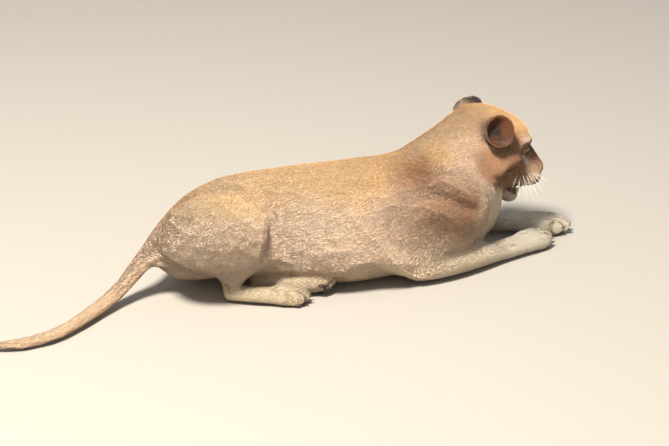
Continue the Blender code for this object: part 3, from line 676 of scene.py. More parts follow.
def overFoot(points, foot):
    # how far ahead, sideways and above each point is, and whether it is on the foot at all
    away = points - np.array(foot.knuckle)
    along = np.array(foot.along)
    near = np.linalg.norm(away - along * foot.length * 0.55, axis=1) < foot.length * 0.85
    return (away @ along / foot.length, away @ np.array(foot.across) / foot.half,
            away @ np.array(foot.rise), near)


def sculptFeet(points, normals):
    change = np.zeros(len(points))
    for name in feet:
        ahead, sideways, above, near = overFoot(points, footFrame(name))
        toes = smooth(ahead, 0.42, 0.75) * near
        for gap in feetPlan["gaps"]:
            change -= feetPlan["cleft"] * toes * bell(sideways - gap * (0.8 + 0.25 * ahead), 0.095)
        for place, reach in toePlaces:
            bump = bell(sideways - place, 0.16) * bell(ahead - reach - 0.02, 0.09)
            change += feetPlan["knuckle"] * bump * near * (above > 0)
            sheath = bell(sideways - place, 0.10) * bell(ahead - reach - 0.24, 0.05)
            change += feetPlan["sheath"] * sheath * (above > 0)
    return points + normals * change[:, None]


def toeGaps(points):
    # how close each point is to the clefts between the toes, from 0 to 1
    share = np.zeros(len(points))
    for name in feet:
        ahead, sideways, _, near = overFoot(points, footFrame(name))
        for gap in feetPlan["gaps"]:
            cleft = bell(sideways - gap * (0.8 + 0.25 * ahead), 0.10)
            share += smooth(ahead, 0.50, 0.80) * near * cleft
    return np.clip(share, 0, 1)


def thin(skin, triangles):
    # fewer faces on the trunk, nearly all kept on the face and feet
    points = meshPoints(skin.data)
    local = toHead(points)
    share = 1 - 0.80 * smooth(local[:, 0], -0.10, 0.04)
    share *= 1 - 0.55 * smooth(np.linalg.norm(local - (0.15, 0, 0.0), axis=1), 0.10, 0.07)
    for name in feet:
        low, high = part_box(name)
        share *= 1 - 0.6 * blob(points, (low + high) / 2, (high - low) * 0.6)
    group = skin.vertex_groups.new(name="thin")
    levels = np.round(share * 20).astype(int)
    for level in np.unique(levels):
        group.add(np.flatnonzero(levels == level).tolist(), float(level) / 20, "REPLACE")
    faces = sum(len(f.vertices) - 2 for f in skin.data.polygons)
    fewer = skin.modifiers.new("fewer", "DECIMATE")
    fewer.ratio = min(1.0, triangles / faces)
    fewer.vertex_group = "thin"
    fewer.vertex_group_factor = 1.0
    fewer.use_collapse_triangulate = True
    applyModifiers(skin)
    skin.vertex_groups.clear()
    # the faces are evened out again
    points = meshPoints(skin.data)
    even = smooth(toHead(points)[:, 0], 0.09, 0.03)
    setPoints(skin.data, spread(points, meshPairs(skin.data), 3, 0.35 * even))
    return skin


# the smudge tone is both darker smudges in the hair and painted shade (low on the near thigh, under the
# shoulder, between the toes); the face tone is the face's own colour made a little darker as painted shade
coatTones = {
    "flank": (230, 203, 177), "back": (220, 182, 131), "shoulder": (158, 104, 62),
    "neck": (228, 208, 184), "cream": (240, 224, 198), "belly": (244, 217, 180),
    "thigh": (216, 192, 164), "smudge": (128, 98, 76), "face": (168, 122, 86),
    "muzzle": (212, 182, 150), "chin": (240, 228, 208), "dark": (34, 24, 18),
    "earBack": (34, 25, 20), "earRim": (158, 104, 58), "earInside": (120, 74, 42),
    "tuft": (44, 31, 24), "lip": (24, 17, 16),
    "mouth": (96, 52, 46), "paw": (244, 232, 210), "hindPaw": (222, 203, 172),
    "tail": (222, 191, 158), "bare": (176, 108, 82),
}
tones = {name: seen(*value) for name, value in coatTones.items()}


def paint(colours, tone, share):
    share = np.clip(share, 0, 1)[:, None]
    return colours * (1 - share) + tones[tone] * share


def coatFields(points, normals, pairs, region, lidEdges):
    # colour, where hair grows, and where the cups of the ears are, for each point of the skin
    names = np.array(fleshNodes)[region]

    def part(*wanted, rounds=8):
        flag = np.isin(names, wanted).astype(float)[:, None]
        return spread(flag, pairs, rounds)[:, 0]

    broad, patchy, fine = (speckle(points, size, seed) - 0.5
                           for size, seed in ((0.11, 3), (0.030, 5), (0.008, 9)))
    colours = np.tile(tones["flank"], (len(points), 1))

    def add(tone, share):
        nonlocal colours
        colours = paint(colours, tone, share)

    local, localNormals = toHead(points), normals @ np.array(headTurn)
    jaw = part("lower_jaw", rounds=3)
    lips = mouthShare(local, localNormals, jaw)
    paintBody(add, part, points, normals[:, 2], broad, patchy)
    paintFeet(add, part, points, patchy, fine)
    paintFolds(add, points - navel)
    paintFace(add, local, part("head", "lower_jaw", rounds=20), jaw)
    add("mouth", lips)
    add("lip", smooth(lips, 0.0, 0.25) * smooth(lips, 0.95, 0.55))
    add("lip", smooth(lidEdges, 0.0034, 0.0016))
    inner = np.zeros(len(points))
    for side, name in ((-1, "ear_right"), (1, "ear_left")):
        inner = np.maximum(inner, paintEar(add, local, localNormals, side, part(name, rounds=2)))
    colours = colours * (1 + 0.10 * broad + 0.14 * patchy + 0.16 * fine)[:, None]
    hairy = (1 - smooth(lips, 0.05, 0.25)) * (1 - smooth(lidEdges, 0.0045, 0.0030))
    return np.clip(colours, 0, 1), hairy, inner


def paintBody(add, part, points, up, broad, patchy):
    height = points[:, 2]
    thighs = part("thigh_right", "thigh_left", rounds=60)
    tail = part("tail_base", "tail_middle", "tail_end", rounds=20)
    add("back", smooth(up + 0.25 * broad, 0.40, 0.90) * smooth(height, 0.20, 0.30))
    add("belly", smooth(height + 0.05 * broad, 0.13, 0.03))
    add("shoulder", 0.85 * part("shoulder_right", "shoulder_left", rounds=60) * smooth(height, 0.10, 0.22))
    add("neck", 0.9 * part("neck", rounds=60) * smooth(up, 0.95, 0.60))
    add("cream", smooth(points[:, 0], 0.62, 0.72) * smooth(height, 0.34, 0.22) * 0.7)
    add("thigh", 0.75 * thighs)
    add("back", 0.4 * thighs * smooth(up, 0.55, 0.90))
    add("smudge", thighs * smooth(patchy + 0.6 * broad, 0.05, 0.5) * 0.45)
    # painted shade on the low near side of the thigh, under its overhang
    add("smudge", thighs * smooth(height, 0.16, 0.09) * (points[:, 1] < 0) * 0.55)
    add("tail", tail)
    add("smudge", tail * smooth(points[:, 0], -0.70, -0.95) * 0.12)
    add("tuft", smooth(part("tail_tuft", rounds=10) + 0.4 * patchy, 0.35, 0.75))


def paintFeet(add, part, points, patchy, fine):
    paws = part("forepaw_right", "forepaw_left", rounds=20)
    hindPaws = part("hindfoot_right", "hindfoot_left", rounds=20)
    add("cream", 0.55 * part("foreleg_right", "foreleg_left", rounds=30))
    add("paw", 0.9 * paws)
    add("hindPaw", 0.9 * hindPaws)
    add("smudge", (paws + hindPaws) * smooth(patchy + fine, 0.25, 0.6) * 0.5)
    # painted shade in the clefts between the toes
    add("smudge", toeGaps(points) * 0.65)


def paintFolds(add, here):
    # thin hair before the thigh and under the flank, and painted shadow round the shoulder
    add("bare", bell(pathDistance(here, np.array(thighCrease[1:]) / 1000), 0.0085) * 0.80)
    add("bare", 0.45 * blob(here, (-0.082, -0.150, 0.095), (0.055, 0.060, 0.030)))
    # painted shadow over the upper arm, under the shoulder
    add("smudge", 0.70 * blob(here, (0.330, -0.150, 0.190), (0.130, 0.080, 0.080)))
    add("shoulder", 0.9 * blob(here, (0.262, -0.062, 0.366), (0.072, 0.080, 0.055)))


def paintFace(add, local, head, jaw):
    x, _, z = local.T
    # the face's own tawny tone over the head, made a little darker as painted shade
    add("face", head * 0.9)
    add("back", head * smooth(z, 0.06, 0.10) * 0.7)
    add("muzzle", head * smooth(x, 0.13, 0.19) * smooth(z, 0.03, -0.02) * 0.9)
    for side in (-1, 1):
        add("chin", blob(local, (0.130, side * 0.058, 0.010), (0.030, 0.022, 0.010)) * 0.75)
        add("chin", blob(local, (0.105, side * 0.060, 0.066), (0.026, 0.022, 0.010)) * 0.7)
        add("dark", blob(local, (0.142, side * 0.036, 0.018), (0.016, 0.006, 0.006)) * 0.75)
        add("dark", blob(local, (0.120, side * 0.045, 0.070), (0.012, 0.008, 0.006)) * 0.25)
    add("chin", jaw * smooth(z, -0.10, -0.125) * 0.7)
    add("chin", blob(local, (0.190, 0, -0.150), (0.040, 0.05, 0.035)) * 0.8)
    for spot in whiskerSpots():
        for side in (-1, 1):
            add("dark", bell(np.linalg.norm(local - spot * (1, side, 1), axis=1), 0.0024) * 0.85)


def paintEar(add, local, localNormals, side, ear):
    # the dark back, the tan rim and the cup of one ear; tells where the cup is
    outward = np.array(Vector((-0.10, 0.86 * side, 0.35)).normalized())
    away = local - np.array((-0.038, 0.112 * side, 0.064))
    facing = localNormals @ outward
    spokes = away - np.outer(away @ outward, outward)
    reach = np.linalg.norm(spokes, axis=1)
    # the floor of the cup, where the skull shows in it
    cup = smooth(reach, 0.040, 0.030) * bell(away @ outward + 0.022, 0.018)
    ear = np.maximum(ear, np.clip(1.6 * cup, 0, 1) * smooth(facing, 0.2, 0.5))
    # above nothing on the back of the ear, below it in the cup
    turned = np.einsum("ij,ij->i", localNormals, spokes) / np.maximum(reach, 1e-5) - facing
    add("earBack", ear * smooth(turned, -0.1, 0.2) * smooth(reach, 0.008, 0.016))
    add("earInside", ear * smooth(turned, 0.0, -0.4))
    add("earRim", ear * bell(turned + 0.35, 0.40) * smooth(reach, 0.042, 0.050))
    upward = away @ unit(np.array((-0.12, 0.0, 1.0)))
    slit = np.hypot(np.sqrt(np.maximum(reach ** 2 - upward ** 2, 0)) * 1.7, upward)
    add("dark", ear * smooth(slit, 0.040, 0.014) * smooth(turned, 0.0, -0.4))
    return ear * smooth(turned, -0.1, -0.6)


def mouthShare(local, normals, jaw):
    # the lips and the inside of the mouth: what faces the gap between the jaws
    x, y, z = local.T
    roof = smooth(-normals[:, 2], 0.35, 0.75) * smooth(z, -0.045, -0.060) * smooth(z, -0.100, -0.088)
    roof *= smooth(x, 0.03, 0.06) * smooth(np.abs(y), 0.062, 0.050) * smooth(jaw, 0.6, 0.3)
    facing = normals[:, 2] * math.cos(jawAngle) + normals[:, 0] * math.sin(jawAngle)
    floor = smooth(facing, 0.30, 0.70) * smooth(jaw, 0.4, 0.7) * smooth(x, 0.02, 0.05)
    return np.maximum(roof, floor)


# the way the hair lies over each region; on the head, ears, legs and tail it follows their shape
liesPlan = {
    "trunk": (-1.0, 0.0, -0.22), "front": (-0.25, 0.0, -1.0), "shoulder": (-0.75, 0.0, -0.65),
    "thigh": (-0.80, 0.0, -0.60),
}


def hairLies(points, normals, pairs, region):
    names = np.array(fleshNodes)[region]
    lies = np.tile(np.array(liesPlan["trunk"]), (len(points), 1))
    local = toHead(points)
    fromNose = local - (0.26, 0, 0.01)
    fromNose[:, 0] -= 0.05
    headLies = turnFromHead(unit(fromNose * (1.0, 0.7, 0.7)))
    for name in fleshNodes:
        here = names == name
        kind, _, side = name.partition("_")
        if name in ("head", "lower_jaw"):
            lies[here] = headLies[here]
        elif kind == "ear":
            sign = -1 if side == "right" else 1
            root = np.array((-0.030, 0.075 * sign, 0.030))
            lies[here] = turnFromHead(unit(local[here] - root) * 0.6 + np.array((-0.1, 0.2 * sign, 0.5)))
        elif kind in ("foreleg", "forepaw"):
            lies[here] = np.array(middleOf("forepaw_" + side) - middleOf("foreleg_" + side))
        elif kind == "hindfoot":
            lies[here] = np.array(feet[name][1]) - np.array(feet[name][0])
        elif kind in liesPlan:
            lies[here] = liesPlan[kind]
    front = smooth(points[:, 0], 0.62, 0.72) * (names == "chest")
    lies = lies * (1 - front[:, None]) + np.array(liesPlan["front"]) * front[:, None]
    tailPath = [middleOf(n) for n in ("rump", "tail_base", "tail_middle", "tail_end", "tail_tuft")]
    tailPath.append(tailPath[-1] * 2 - tailPath[-2])
    for k, name in enumerate(("tail_base", "tail_middle", "tail_end", "tail_tuft")):
        lies[names == name] = np.array(tailPath[k + 2] - tailPath[k + 1])
    lies = spread(unit(lies), pairs, 60)
    lies -= normals * np.einsum("ij,ij->i", lies, normals)[:, None]
    return unit(lies)


def newMaterial(name, roughness, sheen=0.0):
    # a material with its nodes and its shader
    made = bpy.data.materials.new(name)
    made.use_nodes = True
    shader = put(made.node_tree.nodes["Principled BSDF"], {"Roughness": roughness, "Metallic": 0.0})
    if sheen:
        put(shader, {"Sheen Weight": sheen, "Sheen Roughness": 0.4})
    return made, made.node_tree, shader


def node(tree, kind, inputs=None, **values):
    made = tree.nodes.new("ShaderNode" + kind)
    for name, value in values.items():
        setattr(made, name, value)
    return put(made, inputs or {})


def put(made, inputs):
    for name, value in inputs.items():
        made.inputs[name].default_value = value
    return made


def wire(tree, *steps):
    # each step: a node and its output, then a node and its input
    for source, output, target, entry in steps:
        tree.links.new(source.outputs[output], target.inputs[entry])


def mottled(tree, colour, scale, low, high, detail=3.0, stretch=(1, 1, 1)):
    # a colour made a little lighter and darker by noise, and the noise itself
    place = node(tree, "TexCoord")
    stretched = node(tree, "Mapping", {"Scale": stretch})
    noise = node(tree, "TexNoise", {"Scale": scale, "Detail": detail})
    share = node(tree, "MapRange", {"From Min": 0.3, "From Max": 0.7, "To Min": low, "To Max": high})
    times = node(tree, "VectorMath", operation="SCALE")
    tree.links.new(colour, times.inputs[0])
    wire(tree, (place, "Object", stretched, "Vector"), (stretched, "Vector", noise, "Vector"),
         (noise, "Fac", share, "Value"), (share, "Result", times, "Scale"))
    return times.outputs["Vector"], noise.outputs["Fac"]


def roughen(tree, shader, height, distance, strength):
    bump = node(tree, "Bump", {"Distance": distance, "Strength": strength})
    tree.links.new(height, bump.inputs["Height"])
    wire(tree, (bump, "Normal", shader, "Normal"))


def coatMaterial(name, sheen, bumpy):
    made, tree, shader = newMaterial(name, 0.74, sheen)
    put(shader, {"Specular IOR Level": 0.22})
    marks = node(tree, "Attribute", attribute_name="coat")
    colour, height = mottled(tree, marks.outputs["Color"], 260.0, 0.86, 1.12, 4.0, (0.35, 1, 1))
    tree.links.new(colour, shader.inputs["Base Color"])
    if bumpy:
        roughen(tree, shader, height, 0.0012, 0.7)
    return made


def plainMaterial(name, tone, roughness, scale, low, high, grain, shine):
    made, tree, shader = newMaterial(name, roughness)
    put(shader, {"Specular IOR Level": shine})
    base = node(tree, "RGB")
    base.outputs[0].default_value = solid(tone)
    colour, height = mottled(tree, base.outputs[0], scale, low, high)
    tree.links.new(colour, shader.inputs["Base Color"])
    roughen(tree, shader, height, grain, 0.6)
    return made


def paintSkin(skin, colours, hairy):
    # a little darker where the hair shades it
    colours = colours * (1 - 0.14 * hairy)[:, None]
    setColours(skin.data, np.column_stack([colours, np.ones(len(colours))]))
    skin.data.materials.clear()
    settle(skin, coatMaterial("skin under the coat", 0.15, True), "sandy_coat", *fleshNodes)


coatPlan = {
    "mostTufts": 48500,                  # in one piece
    "stand": 0.80,                       # share of the coat's depth that a tip rises to
    "turn": 0.20,                        # how much tufts differ in direction, in radians
    "lift": 0.0028,                      # how far tips may stand off a rounded form
    "sunk": 0.0002,                      # how deep the roots are set
    "shade": 0.05,                       # how much tufts differ in tone
    "patch": 0.003,                      # how much of the flat map one tuft covers
    "mapFaces": 3000,                    # of the coarser copy that the flat map is made on
}


def spikeTemplate():
    # one tuft as a closed three-sided spike: x across, y along, z thick
    shape = bmesh.new()
    bmesh.ops.create_cone(shape, cap_ends=True, segments=3, radius1=0.5, radius2=0.0, depth=1.0)
    bmesh.ops.remove_doubles(shape, verts=shape.verts, dist=1e-4)
    bmesh.ops.rotate(shape, verts=shape.verts, cent=(0, 0, 0), matrix=Matrix.Rotation(-math.pi / 2, 3, "X"))
    bmesh.ops.translate(shape, verts=shape.verts, vec=(0, 0.5, 0))
    low = min(v.co.z for v in shape.verts)
    for vertex in shape.verts:
        vertex.co.z = (vertex.co.z - low) if vertex.co.y < 0.5 else 0.10
    return asTemplate(shape)


def asTemplate(shape):
    bmesh.ops.recalc_face_normals(shape, faces=shape.faces)
    bmesh.ops.triangulate(shape, faces=shape.faces)
    shape.verts.index_update()
    corners = np.array([v.co for v in shape.verts])
    faces = np.array([[v.index for v in f.verts] for f in shape.faces])
    shape.free()
    return corners, faces


def lockTemplate(sides, rings, tip=0.03):
    # a longer lock, whisker or claw: rings from root to tip, closed at both ends
    shape = bmesh.new()
    bmesh.ops.create_circle(shape, cap_ends=True, segments=sides, radius=0.5)
    bmesh.ops.rotate(shape, verts=shape.verts, cent=(0, 0, 0), matrix=Matrix.Rotation(-math.pi / 2, 3, "X"))
    face = shape.faces[:][0]
    for ring in range(rings):
        out = bmesh.ops.extrude_face_region(shape, geom=[face])
        moved = [v for v in out["geom"] if isinstance(v, bmesh.types.BMVert)]
        new = [f for f in out["geom"] if isinstance(f, bmesh.types.BMFace)][0]
        if ring > 0:
            bmesh.ops.delete(shape, geom=[face], context="FACES_ONLY")
        face = new
        y = (ring + 1) / rings
        width = max(1.0 - y ** 1.6, tip) * (1.0 + 0.25 * math.sin(math.pi * y))
        for vertex in moved:
            flat = Vector((vertex.co.x, 0, vertex.co.z)).normalized() * 0.5 * width
            vertex.co = (flat.x, y, flat.z)
    return asTemplate(shape)


def scatter(triangles, points, density, limit):
    # even picks over a set of triangles: which ones, the weights of their corners, and how many were wanted
    a, b, c = (points[triangles[:, k]] for k in range(3))
    area = np.linalg.norm(np.cross(b - a, c - a), axis=1) / 2
    wanted = area * density[triangles].mean(axis=1)
    total = wanted.sum()
    count = int(min(total, limit))
    steps = (np.arange(count) + chance.random(count)) / count * total
    picks = np.searchsorted(np.cumsum(wanted), steps).clip(0, len(triangles) - 1)
    u, v = chance.random(count), chance.random(count)
    flip = u + v > 1
    u, v = np.where(flip, 1 - u, u), np.where(flip, 1 - v, v)
    return picks, np.column_stack([1 - u - v, u, v]), total


def unwrap(points, triangles):
    # a flat map of a stretch of the skin, made on a coarser copy of it
    used, new = np.unique(triangles, return_inverse=True)
    mesh = bpy.data.meshes.new("stretch")
    mesh.from_pydata(points[used].tolist(), [], new.reshape(-1, 3).tolist())
    stretch = newObject("stretch", mesh)
    fewer = stretch.modifiers.new("fewer", "DECIMATE")
    fewer.ratio = min(1.0, coatPlan["mapFaces"] / max(len(triangles), 1))
    applyModifiers(stretch)
    bpy.context.view_layer.objects.active = stretch
    for thing in bpy.context.selected_objects:
        thing.select_set(False)
    stretch.select_set(True)
    bpy.ops.object.mode_set(mode="EDIT")
    bpy.ops.mesh.select_all(action="SELECT")
    bpy.ops.uv.smart_project(angle_limit=math.radians(75), island_margin=0.004)
    bpy.ops.object.mode_set(mode="OBJECT")
    mesh = stretch.data
    mesh.calc_loop_triangles()
    corners = [tri.vertices[:] for tri in mesh.loop_triangles]
    loops = np.array([tri.loops[:] for tri in mesh.loop_triangles])
    places = readMesh(mesh.uv_layers.active.data, "uv", 2)[loops]
    low, high = places.min(axis=(0, 1)), places.max(axis=(0, 1))
    places = 0.01 + 0.98 * (places - low) / (high - low)
    coarse = meshPoints(mesh)
    tree = BVHTree.FromPolygons([Vector(p) for p in coarse], corners)
    bpy.data.objects.remove(stretch)
    return tree, coarse, np.array(corners), places


def mapPlaces(roots, wrapped):
    tree, coarse, corners, places = wrapped
    found = [tree.find_nearest(Vector(p)) for p in roots]
    hits = np.array([f[0] for f in found])
    index = np.array([f[2] for f in found])
    a, b, c = (coarse[corners[index, k]] for k in range(3))
    whole = np.cross(b - a, c - a)
    size = np.maximum(np.einsum("ij,ij->i", whole, whole), 1e-18)
    wb = np.einsum("ij,ij->i", np.cross(hits - a, c - a), whole) / size
    wc = np.einsum("ij,ij->i", np.cross(b - a, hits - a), whole) / size
    weights = np.clip(np.column_stack([1 - wb - wc, wb, wc]), 0, 1)
    return np.einsum("ij,ijk->ik", weights, places[index])


def tuftMesh(name, template, roots, axes, sizes, bends, colours, places):
    # joins one copy of the template for each root; axes are across, along and out
    corners, faces = template
    count, each = len(roots), len(corners)
    across, along, outward = axes
    width, length, thick = sizes
    x, y, z = corners.T
    points = (roots[:, None, :]
              + across[:, None, :] * (width[:, None] * x)[..., None]
              + along[:, None, :] * (length[:, None] * y)[..., None]
              + outward[:, None, :] * (thick[:, None] * z + bends[:, None] * y ** 2)[..., None])
    points[..., 2] = np.maximum(points[..., 2], 0.0004)
    indices = (faces[None] + (np.arange(count) * each)[:, None, None]).reshape(-1, 3)
    mesh = bpy.data.meshes.new(name)
    mesh.vertices.add(count * each)
    mesh.vertices.foreach_set("co", points.astype(np.float32).ravel())
    mesh.loops.add(len(indices) * 3)
    mesh.loops.foreach_set("vertex_index", indices.astype(np.int32).ravel())
    mesh.polygons.add(len(indices))
    mesh.polygons.foreach_set("loop_start", np.arange(0, len(indices) * 3, 3, dtype=np.int32))
    mesh.update(calc_edges=True)
    tone = 1.02 + 0.08 * y
    shaded = np.clip(colours[:, None, :] * tone[None, :, None], 0, 1)
    rgba = np.concatenate([shaded, np.ones((count, each, 1))], axis=2)
    setColours(mesh, rgba)
    if places is not None:
        patch = coatPlan["patch"]
        turn = chance.random(count) * 2 * math.pi
        flat = np.column_stack([x, y - 0.5 + 0.35 * z]) * patch
        c, s = np.cos(turn)[:, None], np.sin(turn)[:, None]
        u = places[:, :1] + flat[:, 0] * c - flat[:, 1] * s
        v = places[:, 1:] + flat[:, 0] * s + flat[:, 1] * c
        layer = mesh.uv_layers.new(name="OFBake")
        uv = np.stack([u, v], axis=2).reshape(-1, 2)[indices.ravel()]
        layer.data.foreach_set("uv", np.clip(uv, 0, 1).astype(np.float32).ravel())
    return newObject(name, mesh)


def growCoat(name, faceMask, skinData, slot, material, bend=0.0, size=(1, 1, 1), where=1,
             lift=coatPlan["lift"]):
    # a bend other than nothing makes long locks in place of short spikes
    surface, points, normals, triangles, colours, hairy, lies, lengths, widths, layers, depths = skinData
    chosen = triangles[faceMask]
    lengths, widths, depths = lengths * size[0], widths * size[1], depths * size[2]
    density = layers / (0.5 * lengths * widths) * hairy * where
    limit = coatPlan["mostTufts"] // (3 if bend else 1)
    picks, weights, total = scatter(chosen, points, density, limit)
    corner = chosen[picks]

    def at(values):
        return np.einsum("ij,ij...->i...", weights, values[corner])

    roots, out, lie = at(points), unit(at(normals)), unit(at(lies))
    count = len(roots)
    length = at(lengths) * chance.uniform(0.75, 1.2, count)
    # where the limit thins the coat, each tuft is a little wider
    widen = min(1.7, math.sqrt(max(total / max(count, 1), 1.0)))
    width = at(widths) * chance.uniform(0.8, 1.25, count) * widen
    turn = chance.normal(0, coatPlan["turn"], count)
    side = np.cross(out, lie)
    flat = lie * np.cos(turn)[:, None] + side * np.sin(turn)[:, None]
    roots = roots - out * coatPlan["sunk"]
    # each tip is found over the skin, so that the hair lies along every fold and none is buried
    rise = np.maximum(coatPlan["stand"] * at(depths) * chance.uniform(0.6, 1.15, count), 0.0006)
    reach = roots + flat * length[:, None] + out * rise[:, None]
    found = [surface.find_nearest(Vector(p)) for p in reach]
    below, up = np.array([f[0] for f in found]), np.array([f[1] for f in found])
    height = np.einsum("ij,ij->i", reach - below, up)
    tips = below + up * np.clip(height, rise, rise + lift)[:, None]
    along = tips - roots
    length = np.linalg.norm(along, axis=1)
    along = unit(along)
    across = unit(np.cross(along, out))
    outward = np.cross(across, along)
    shade = 1 + chance.normal(0, coatPlan["shade"], count)
    dark = np.where(chance.random(count) < 0.06, 0.87, 1.0)
    tint = at(colours) * (shade * dark)[:, None]
    places = mapPlaces(roots, unwrap(points, chosen))
    template = lockTemplate(3, 3) if bend else spikeTemplate()
    bends = -bend * length * chance.uniform(0.4, 1.2, count)
    coat = tuftMesh(name, template, roots, (across, along, outward), (width, length, width * 0.30),
                    bends, tint, places)
    settle(coat, material, slot)
    print(name, count, "tufts of", int(total), "wanted,", len(coat.data.polygons), "triangles")


def growAllCoats(skin, colours, hairy, inner, lies, region):
    mesh = skin.data
    mesh.calc_loop_triangles()
    triangles = readMesh(mesh.loop_triangles, "vertices", 3, np.int32)
    points, normals, pairs = meshPoints(mesh), meshNormals(mesh), meshPairs(mesh)
    table = np.array([regions[name][1:] for name in fleshNodes])[region]
    depths, lengths, widths, layers = spread(table, pairs, 8).T
    # shorter and finer towards the nose
    small = 1 - 0.45 * smooth(toHead(points)[:, 0], 0.09, 0.17)
    surface = BVHTree.FromPolygons([Vector(p) for p in points], triangles.tolist())
    skinData = (surface, points, normals, triangles, colours, hairy, lies,
                lengths * small, widths * (0.5 + 0.5 * small), layers, depths)
    names = np.array(fleshNodes)[region][triangles[:, 0]]
    centre = points[triangles].mean(axis=1)
    headX = toHead(centre)[:, 0]
    hair = coatMaterial("coat of short hair", 0.14, False)

    def isIn(*wanted):
        return np.isin(names, wanted)

    skull = isIn("head", "lower_jaw", "ear_right", "ear_left")
    pieces = {
        "coat_face": (skull & (headX >= 0.06), "sandy_coat"),
        "coat_head": (skull & (headX < 0.06), "sandy_coat"),
        "coat_neck_chest": (isIn("neck", "chest"), "sandy_coat"),
        "coat_shoulders": (isIn("shoulder_right", "shoulder_left"), "sandy_coat"),
        "coat_flanks": (isIn("belly"), "sandy_coat"),
        "coat_rump": (isIn("rump", "thigh_left"), "sandy_coat"),
        "coat_thigh": (isIn("thigh_right"), "sandy_coat"),
        "coat_foreleg_right": (isIn("foreleg_right", "forepaw_right"), "pale_coat"),
        "coat_foreleg_left": (isIn("foreleg_left", "forepaw_left"), "pale_coat"),
        "coat_hind_feet": (isIn("hindfoot_right", "hindfoot_left"), "pale_coat"),
        "coat_tail": (isIn("tail_base", "tail_middle", "tail_end"), "sandy_coat"),
    }
    for name, (where, slot) in pieces.items():
        growCoat(name, where, skinData, slot, hair)
    growCoat("coat_tail_tuft", isIn("tail_tuft"), skinData, "dark_hair", hair, bend=0.03, lift=0.030)
    growCoat("ear_hair", isIn("ear_right", "ear_left"), skinData, "pale_coat", hair, bend=0.16,
             size=(2.0, 0.8, 5.0), where=0.45 * inner)


def sweep(shape, path, radii, sides=8, closed=False, squash=1.0):
    # rings along a bent line, bridged one after another
    path = [Vector(p) for p in path]
    count = len(path)
    rings = []
    for k, here in enumerate(path):
        before = path[(k - 1) % count] if closed or k else here
        after = path[(k + 1) % count] if closed or k < count - 1 else here
        along = (after - before).normalized()
        turn = along.to_track_quat("Z", "Y").to_matrix().to_4x4()
        made = bmesh.ops.create_circle(shape, segments=sides, radius=radii[k],
                                       matrix=Matrix.Translation(here) @ turn)
        verts = made["verts"]
        if squash != 1.0:
            for vertex in verts:
                vertex.co.z = here.z + (vertex.co.z - here.z) * squash
        rings.append(list({e for v in verts for e in v.link_edges}))
    pairs = zip(rings, rings[1:] + rings[:1]) if closed else zip(rings[:-1], rings[1:])
    for first, second in pairs:
        bmesh.ops.bridge_loops(shape, edges=first + second)
    if not closed:
        for ring in (rings[0], rings[-1]):
            bmesh.ops.contextual_create(shape, geom=ring)


def bendPath(start, end, bulge, steps):
    # points from start to end, pushed out by bulge halfway
    start, end, bulge = (np.array(v, float) for v in (start, end, bulge))
    t = np.linspace(0, 1, steps)[:, None]
    return start + (end - start) * t + bulge * 4 * t * (1 - t)


def finishShape(name, shape, material, slot, *replaced):
    bmesh.ops.recalc_face_normals(shape, faces=shape.faces)
    settle(bmeshObject(name, shape), material, slot, *replaced)


irisPlan = {
    "cornea": 0.0012,                    # how far the clear front bulges
    "pupil": 0.0034,
    "iris": 0.0094,
    "rays": 0.0030,                      # how far the streaks of the iris run in and out
    "reach": 0.0140,                     # from the middle to where the eye's colours end
    "amber": (190, 128, 40), "gold": (226, 178, 84), "rimTone": (58, 34, 16),
    "white": (74, 50, 38),
}


def eyeMaterial(side):
    made, tree, shader = newMaterial("eye " + ("right" if side < 0 else "left"), 0.12)
    put(shader, {"Coat Weight": 1.0, "Coat Roughness": 0.03, "IOR": 1.38})
    place = node(tree, "TexCoord")
    turn = node(tree, "Mapping", vector_type="TEXTURE")
    put(turn, {"Location": eyeMiddles[side], "Rotation": eyeMatrix(side).to_euler()})
    flat = node(tree, "VectorMath", {1: (1, 1, 0)}, operation="MULTIPLY")
    reach = node(tree, "VectorMath", operation="LENGTH")
    direction = node(tree, "VectorMath", operation="NORMALIZE")
    rays = node(tree, "TexNoise", {"Scale": 7.0, "Detail": 4.0})
    streak = node(tree, "Math", {1: irisPlan["rays"]}, operation="MULTIPLY_ADD")
    across = node(tree, "Math", {1: irisPlan["reach"]}, operation="DIVIDE")
    ramp = node(tree, "ValToRGB")
    wire(tree, (place, "Object", turn, "Vector"), (turn, "Vector", flat, 0),
         (flat, "Vector", reach, 0), (flat, "Vector", direction, 0), (direction, "Vector", rays, "Vector"),
         (rays, "Fac", streak, 0), (reach, "Value", streak, 2), (streak, "Value", across, 0),
         (across, "Value", ramp, "Fac"), (ramp, "Color", shader, "Base Color"))
    pupil, iris = ((irisPlan[k] + irisPlan["rays"] / 2) / irisPlan["reach"] for k in ("pupil", "iris"))
    stops = [(pupil, (6, 5, 5)), (pupil + 0.03, irisPlan["gold"]), ((pupil + iris) / 2, irisPlan["amber"]),
             (iris - 0.07, irisPlan["amber"]), (iris, irisPlan["rimTone"]), (iris + 0.07, irisPlan["white"])]
    while len(ramp.color_ramp.elements) < len(stops):
        ramp.color_ramp.elements.new(0.5)
    for stop, (at, tone) in zip(ramp.color_ramp.elements, stops):
        stop.position = at
        stop.color = solid(tone)
    return made


def makeEyes():
    radius = eyePlan["radius"]
    for side, name in ((-1, "eye_right"), (1, "eye_left")):
        shape = bmesh.new()
        bmesh.ops.create_uvsphere(shape, u_segments=48, v_segments=32, radius=radius)
        for vertex in shape.verts:
            front = max(0.0, (vertex.co.normalized().z - 0.80) / 0.20)
            vertex.co *= 1 + irisPlan["cornea"] / radius * front ** 0.8
        place = Matrix.Translation(eyeMiddles[side]) @ eyeMatrix(side).to_4x4()
        bmesh.ops.transform(shape, matrix=place, verts=shape.verts)
        finishShape("eyeball_" + name[4:], shape, eyeMaterial(side), "eye", name)
    print("eyes done")


